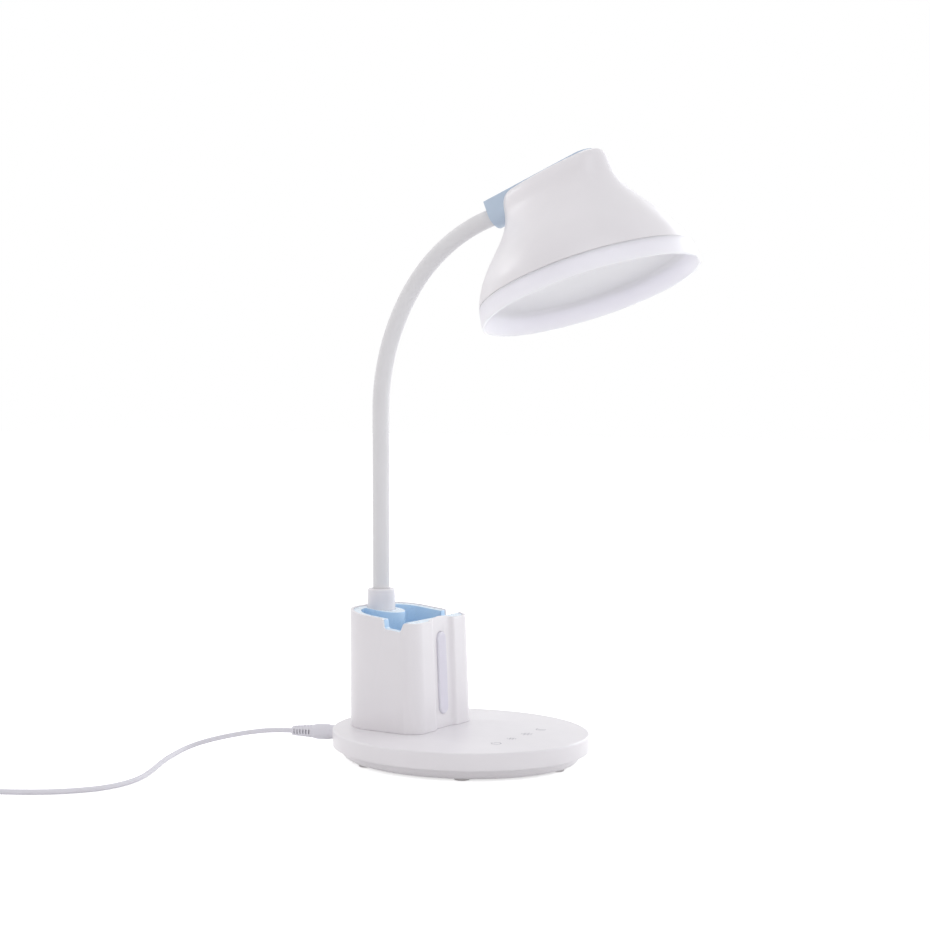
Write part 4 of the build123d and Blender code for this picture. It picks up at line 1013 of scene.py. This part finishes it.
class LAMP_OT_key_prints(bpy.types.Operator):
    """Prints a plain sign over each touch pad: power, less light, more light and night light"""

    bl_idname = "lamp.key_prints"
    bl_label = "Key prints"

    def execute(self, context):
        low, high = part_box("touch_pads")
        half = (high.y - low.y) / 2
        level = node_top("base_top_shell")
        signs = (self.power, self.small_sun, self.large_sun, self.moon)
        pitch = (high.x - low.x - 2 * half) / (len(signs) - 1)
        for number, sign in enumerate(signs):
            piece = sign("print_%s" % sign.__name__)
            take(piece)
            bpy.ops.object.mode_set(mode="EDIT")
            bpy.ops.mesh.select_all(action="SELECT")
            bpy.ops.mesh.extrude_region_move(TRANSFORM_OT_translate={"value": (0, 0, PRINT_THICKNESS)})
            bpy.ops.mesh.select_all(action="SELECT")
            bpy.ops.mesh.normals_make_consistent(inside=False)
            place = (low.x + half + pitch * number, (low.y + high.y) / 2, level)
            bpy.ops.transform.translate(value=place)
            settle(piece, "base", "key_print")
        return {"FINISHED"}

    def ring(self, name, radius, gap=0.0):
        """A flat ring, open at its top by a gap in degrees to each side."""
        piece = self.disc(name, radius, "FACE")
        bpy.ops.mesh.select_all(action="SELECT")
        bpy.ops.mesh.inset(thickness=PRINT_STROKE)
        bpy.ops.mesh.delete(type="FACE")
        if gap:
            pick(piece, "FACE", lambda face: abs(math.degrees(math.atan2(
                face.calc_center_median().x, face.calc_center_median().y))) < gap)
            bpy.ops.mesh.delete(type="FACE")
        return piece

    def disc(self, name, radius, kind):
        """A flat disc, open in edit mode."""
        clear_selection()
        bpy.ops.mesh.primitive_circle_add(
            vertices=SIGN_SIDES, radius=radius, fill_type="NGON", location=(0, 0, 0))
        piece = added(name)
        bpy.ops.object.mode_set(mode="EDIT")
        bpy.ops.mesh.select_mode(type=kind)
        return piece

    def strokes(self, low, high, turns):
        """Adds straight strokes that point away from the middle, at some turns in degrees."""
        for turn in turns:
            bpy.ops.mesh.select_all(action="DESELECT")
            bpy.ops.mesh.primitive_plane_add(size=1, location=(0, 0, 0))
            bpy.ops.transform.resize(value=(PRINT_STROKE, high - low, 1), center_override=(0, 0, 0))
            bpy.ops.transform.translate(value=(0, (low + high) / 2, 0))
            bpy.ops.transform.rotate(value=math.radians(turn), orient_axis="Z", center_override=(0, 0, 0))

    def power(self, name):
        piece = self.ring(name, POWER_RADIUS, POWER_GAP)
        self.strokes(0.9 * MM, 4.0 * MM, (0,))
        return piece

    def small_sun(self, name):
        piece = self.ring(name, 1.5 * MM)
        self.strokes(2.3 * MM, 3.1 * MM, SUN_RAYS)
        return piece

    def large_sun(self, name):
        piece = self.ring(name, 2.0 * MM)
        self.strokes(2.7 * MM, 4.0 * MM, SUN_RAYS)
        return piece

    def moon(self, name):
        """A crescent: a round outline with its right side turned inwards."""
        piece = self.disc(name, MOON_RADIUS, "VERT")
        pick(piece, "VERT", lambda vertex: vertex.co.x > MOON_TIP)
        bpy.ops.transform.resize(value=(-MOON_HOLLOW, 1, 1), center_override=(MOON_TIP, 0, 0))
        bpy.ops.mesh.select_mode(type="FACE")
        bpy.ops.mesh.select_all(action="SELECT")
        bpy.ops.mesh.inset(thickness=MOON_STROKE)
        bpy.ops.mesh.delete(type="FACE")
        return piece


# Parts of the frame whose finish isn't the one that the record gives to their slot
OWN_FINISHES = {"night_light_lens": "strip_plastic"}


class LAMP_OT_finishes(bpy.types.Operator):
    """Gives every part of the frame its finish"""

    bl_idname = "lamp.finishes"
    bl_label = "Finishes"

    def execute(self, context):
        for name, slot in record_slots().items():
            materials = frame["nodes"][name].data.materials
            materials.clear()
            materials.append(material(OWN_FINISHES.get(name, slot)))
        return {"FINISHED"}


FLOOR_SIZE = 12.0
# Just under the table's level, so that the feet and the lead don't flicker against it
FLOOR_LEVEL = -0.2 * MM
FLOOR_GLOW = 0.66
SKY_COLOUR = (1.0, 0.965, 0.975)
SKY_STRENGTH = 0.50
WHITE = (1, 1, 1)
LAMP_AIM = Vector((0, 0, 0.2))


def floor_finish(colour):
    """A pale floor that renders white and keeps the lamp's shadow."""
    finish = Finish("floor")
    tone = finish.mix(finish.noise(6.0, detail=3.0), tinted(colour, 0.995), colour)
    matt = finish.add("ShaderNodeBsdfDiffuse", {}, {"Color": tone})
    glow = finish.add("ShaderNodeEmission", {}, {"Color": WHITE, "Strength": FLOOR_GLOW})
    bright = finish.add("ShaderNodeAddShader", {}, {0: matt, 1: glow})
    both = finish.blend_shaders(finish.seen_directly(), matt, bright)
    finish.add("ShaderNodeOutputMaterial", {}, {"Surface": both}, None)
    return finish.holder


def area_lamp(name, place, size, power, colour):
    """A rectangular lamp that looks at the middle of the object."""
    clear_selection()
    bpy.ops.object.light_add(type="AREA", location=place)
    lamp = bpy.context.object
    lamp.name = name
    lamp.data.name = name
    lamp.data.shape = "RECTANGLE"
    lamp.data.size, lamp.data.size_y = size
    lamp.data.energy = power
    lamp.data.color = colour
    lamp.rotation_euler = (LAMP_AIM - Vector(place)).to_track_quat("-Z", "Y").to_euler()


# The studio's soft lamps: name, place, size, watts and colour
COOL = (0.93, 0.965, 1.0)
SOFT_LAMPS = (
    ("left_lamp", (-0.8115, 1.2615, 0.5), (1.3, 1.3), 2.7, (1, 0.98, 0.985)),
    ("right_lamp", (0.8115, -1.2615, 0.5), (1.3, 1.3), 5.4, COOL),
    ("right_rear_lamp", (1.6584, -0.36, 0.7), (1.2, 1.2), 10.5, COOL),
    ("left_rear_lamp", (0.36, 1.6584, 0.7), (1.2, 1.2), 2.5, COOL),
    ("high_lamp", (-1.0092, -0.6492, 1.5), (1.2, 1.2), 6.6, COOL),
    ("low_lamp", (-1.3456, -0.8656, 0.05), (1.2, 0.5), 1.8, (1, 0.985, 0.985)),
    ("top_lamp", (0.0, 0.0, 1.8), (1.6, 1.6), 2.2, COOL),
    ("shade_glint", (-0.05, 1.25, 1.05), (0.4, 0.4), 1.7, WHITE),
    ("rim_glint", (1.15, 0.75, 1.4), (0.4, 0.4), 1.6, COOL),
)


class LAMP_OT_stage(bpy.types.Operator):
    """Sets the floor, the lights, the world and the camera"""

    bl_idname = "lamp.stage"
    bl_label = "Stage"

    def execute(self, context):
        stage = context.scene.lamp_stage
        clear_selection()
        bpy.ops.mesh.primitive_plane_add(size=FLOOR_SIZE, location=(0, 0, FLOOR_LEVEL))
        floor = added("floor")
        take(floor)
        bpy.ops.object.transform_apply(location=True)
        floor.data.materials.append(floor_finish(tuple(stage.floor_colour)))
        self.world_light(context)
        for name, place, size, power, colour in SOFT_LAMPS:
            area_lamp(name, place, size, power * stage.light, colour)
        self.camera(context, stage)
        context.scene.view_settings.view_transform = "Standard"
        return {"FINISHED"}

    def world_light(self, context):
        """A soft even sky that lights the object, shown as plain white."""
        world = bpy.data.worlds.new("studio")
        context.scene.world = world
        sky = Finish(world.name, world)
        seen = sky.seen_directly()
        soft = sky.add("ShaderNodeBackground", {}, {"Color": SKY_COLOUR, "Strength": SKY_STRENGTH})
        white = sky.add("ShaderNodeBackground", {}, {"Color": WHITE, "Strength": 1.0})
        both = sky.blend_shaders(seen, soft, white)
        sky.add("ShaderNodeOutputWorld", {}, {"Surface": both}, None)

    def camera(self, context, stage):
        """The camera at the photograph's viewing angle."""
        clear_selection()
        bpy.ops.object.camera_add(location=stage.camera_place)
        camera = context.object
        camera.name = "camera"
        camera.data.lens = stage.camera_lens
        camera.data.sensor_width = 36
        camera.data.clip_start = 0.05
        flat = math.cos(stage.camera_pitch)
        way = Vector((
            math.cos(stage.camera_turn) * flat,
            math.sin(stage.camera_turn) * flat,
            -math.sin(stage.camera_pitch)))
        camera.rotation_euler = way.to_track_quat("-Z", "Y").to_euler()
        context.scene.camera = camera


OPERATORS = (
    LAMP_OT_stage, LAMP_OT_finishes, LAMP_OT_mouldings, LAMP_OT_collar, LAMP_OT_plug, LAMP_OT_usb_plug,
    LAMP_OT_lead, LAMP_OT_neck, LAMP_OT_key_prints,
)


class LAMP_PT_panel(bpy.types.Panel):
    """Lists the lamp's settings and steps"""

    bl_idname = "LAMP_PT_panel"
    bl_label = "Table lamp"
    bl_space_type = "VIEW_3D"
    bl_region_type = "UI"
    bl_category = "Lamp"

    def draw(self, context):
        for group in (context.scene.lamp_colours, context.scene.lamp_sizes, context.scene.lamp_stage):
            box = self.layout.box()
            for name in group.bl_rna.properties.keys():
                if name not in ("rna_type", "name"):
                    box.prop(group, name)
        for operator in OPERATORS:
            self.layout.operator(operator.bl_idname)


CLASSES = (LampColours, LampSizes, LampStage, *OPERATORS, LAMP_PT_panel)


def register():
    for cls in CLASSES:
        bpy.utils.register_class(cls)
    bpy.types.Scene.lamp_colours = bpy.props.PointerProperty(type=LampColours)
    bpy.types.Scene.lamp_sizes = bpy.props.PointerProperty(type=LampSizes)
    bpy.types.Scene.lamp_stage = bpy.props.PointerProperty(type=LampStage)


def unregister():
    del bpy.types.Scene.lamp_stage
    del bpy.types.Scene.lamp_sizes
    del bpy.types.Scene.lamp_colours
    for cls in reversed(CLASSES):
        bpy.utils.unregister_class(cls)


def main():
    register()
    for operator in OPERATORS:
        family, name = operator.bl_idname.split(".")
        getattr(getattr(bpy.ops, family), name)()


if __name__ == "__main__":
    main()
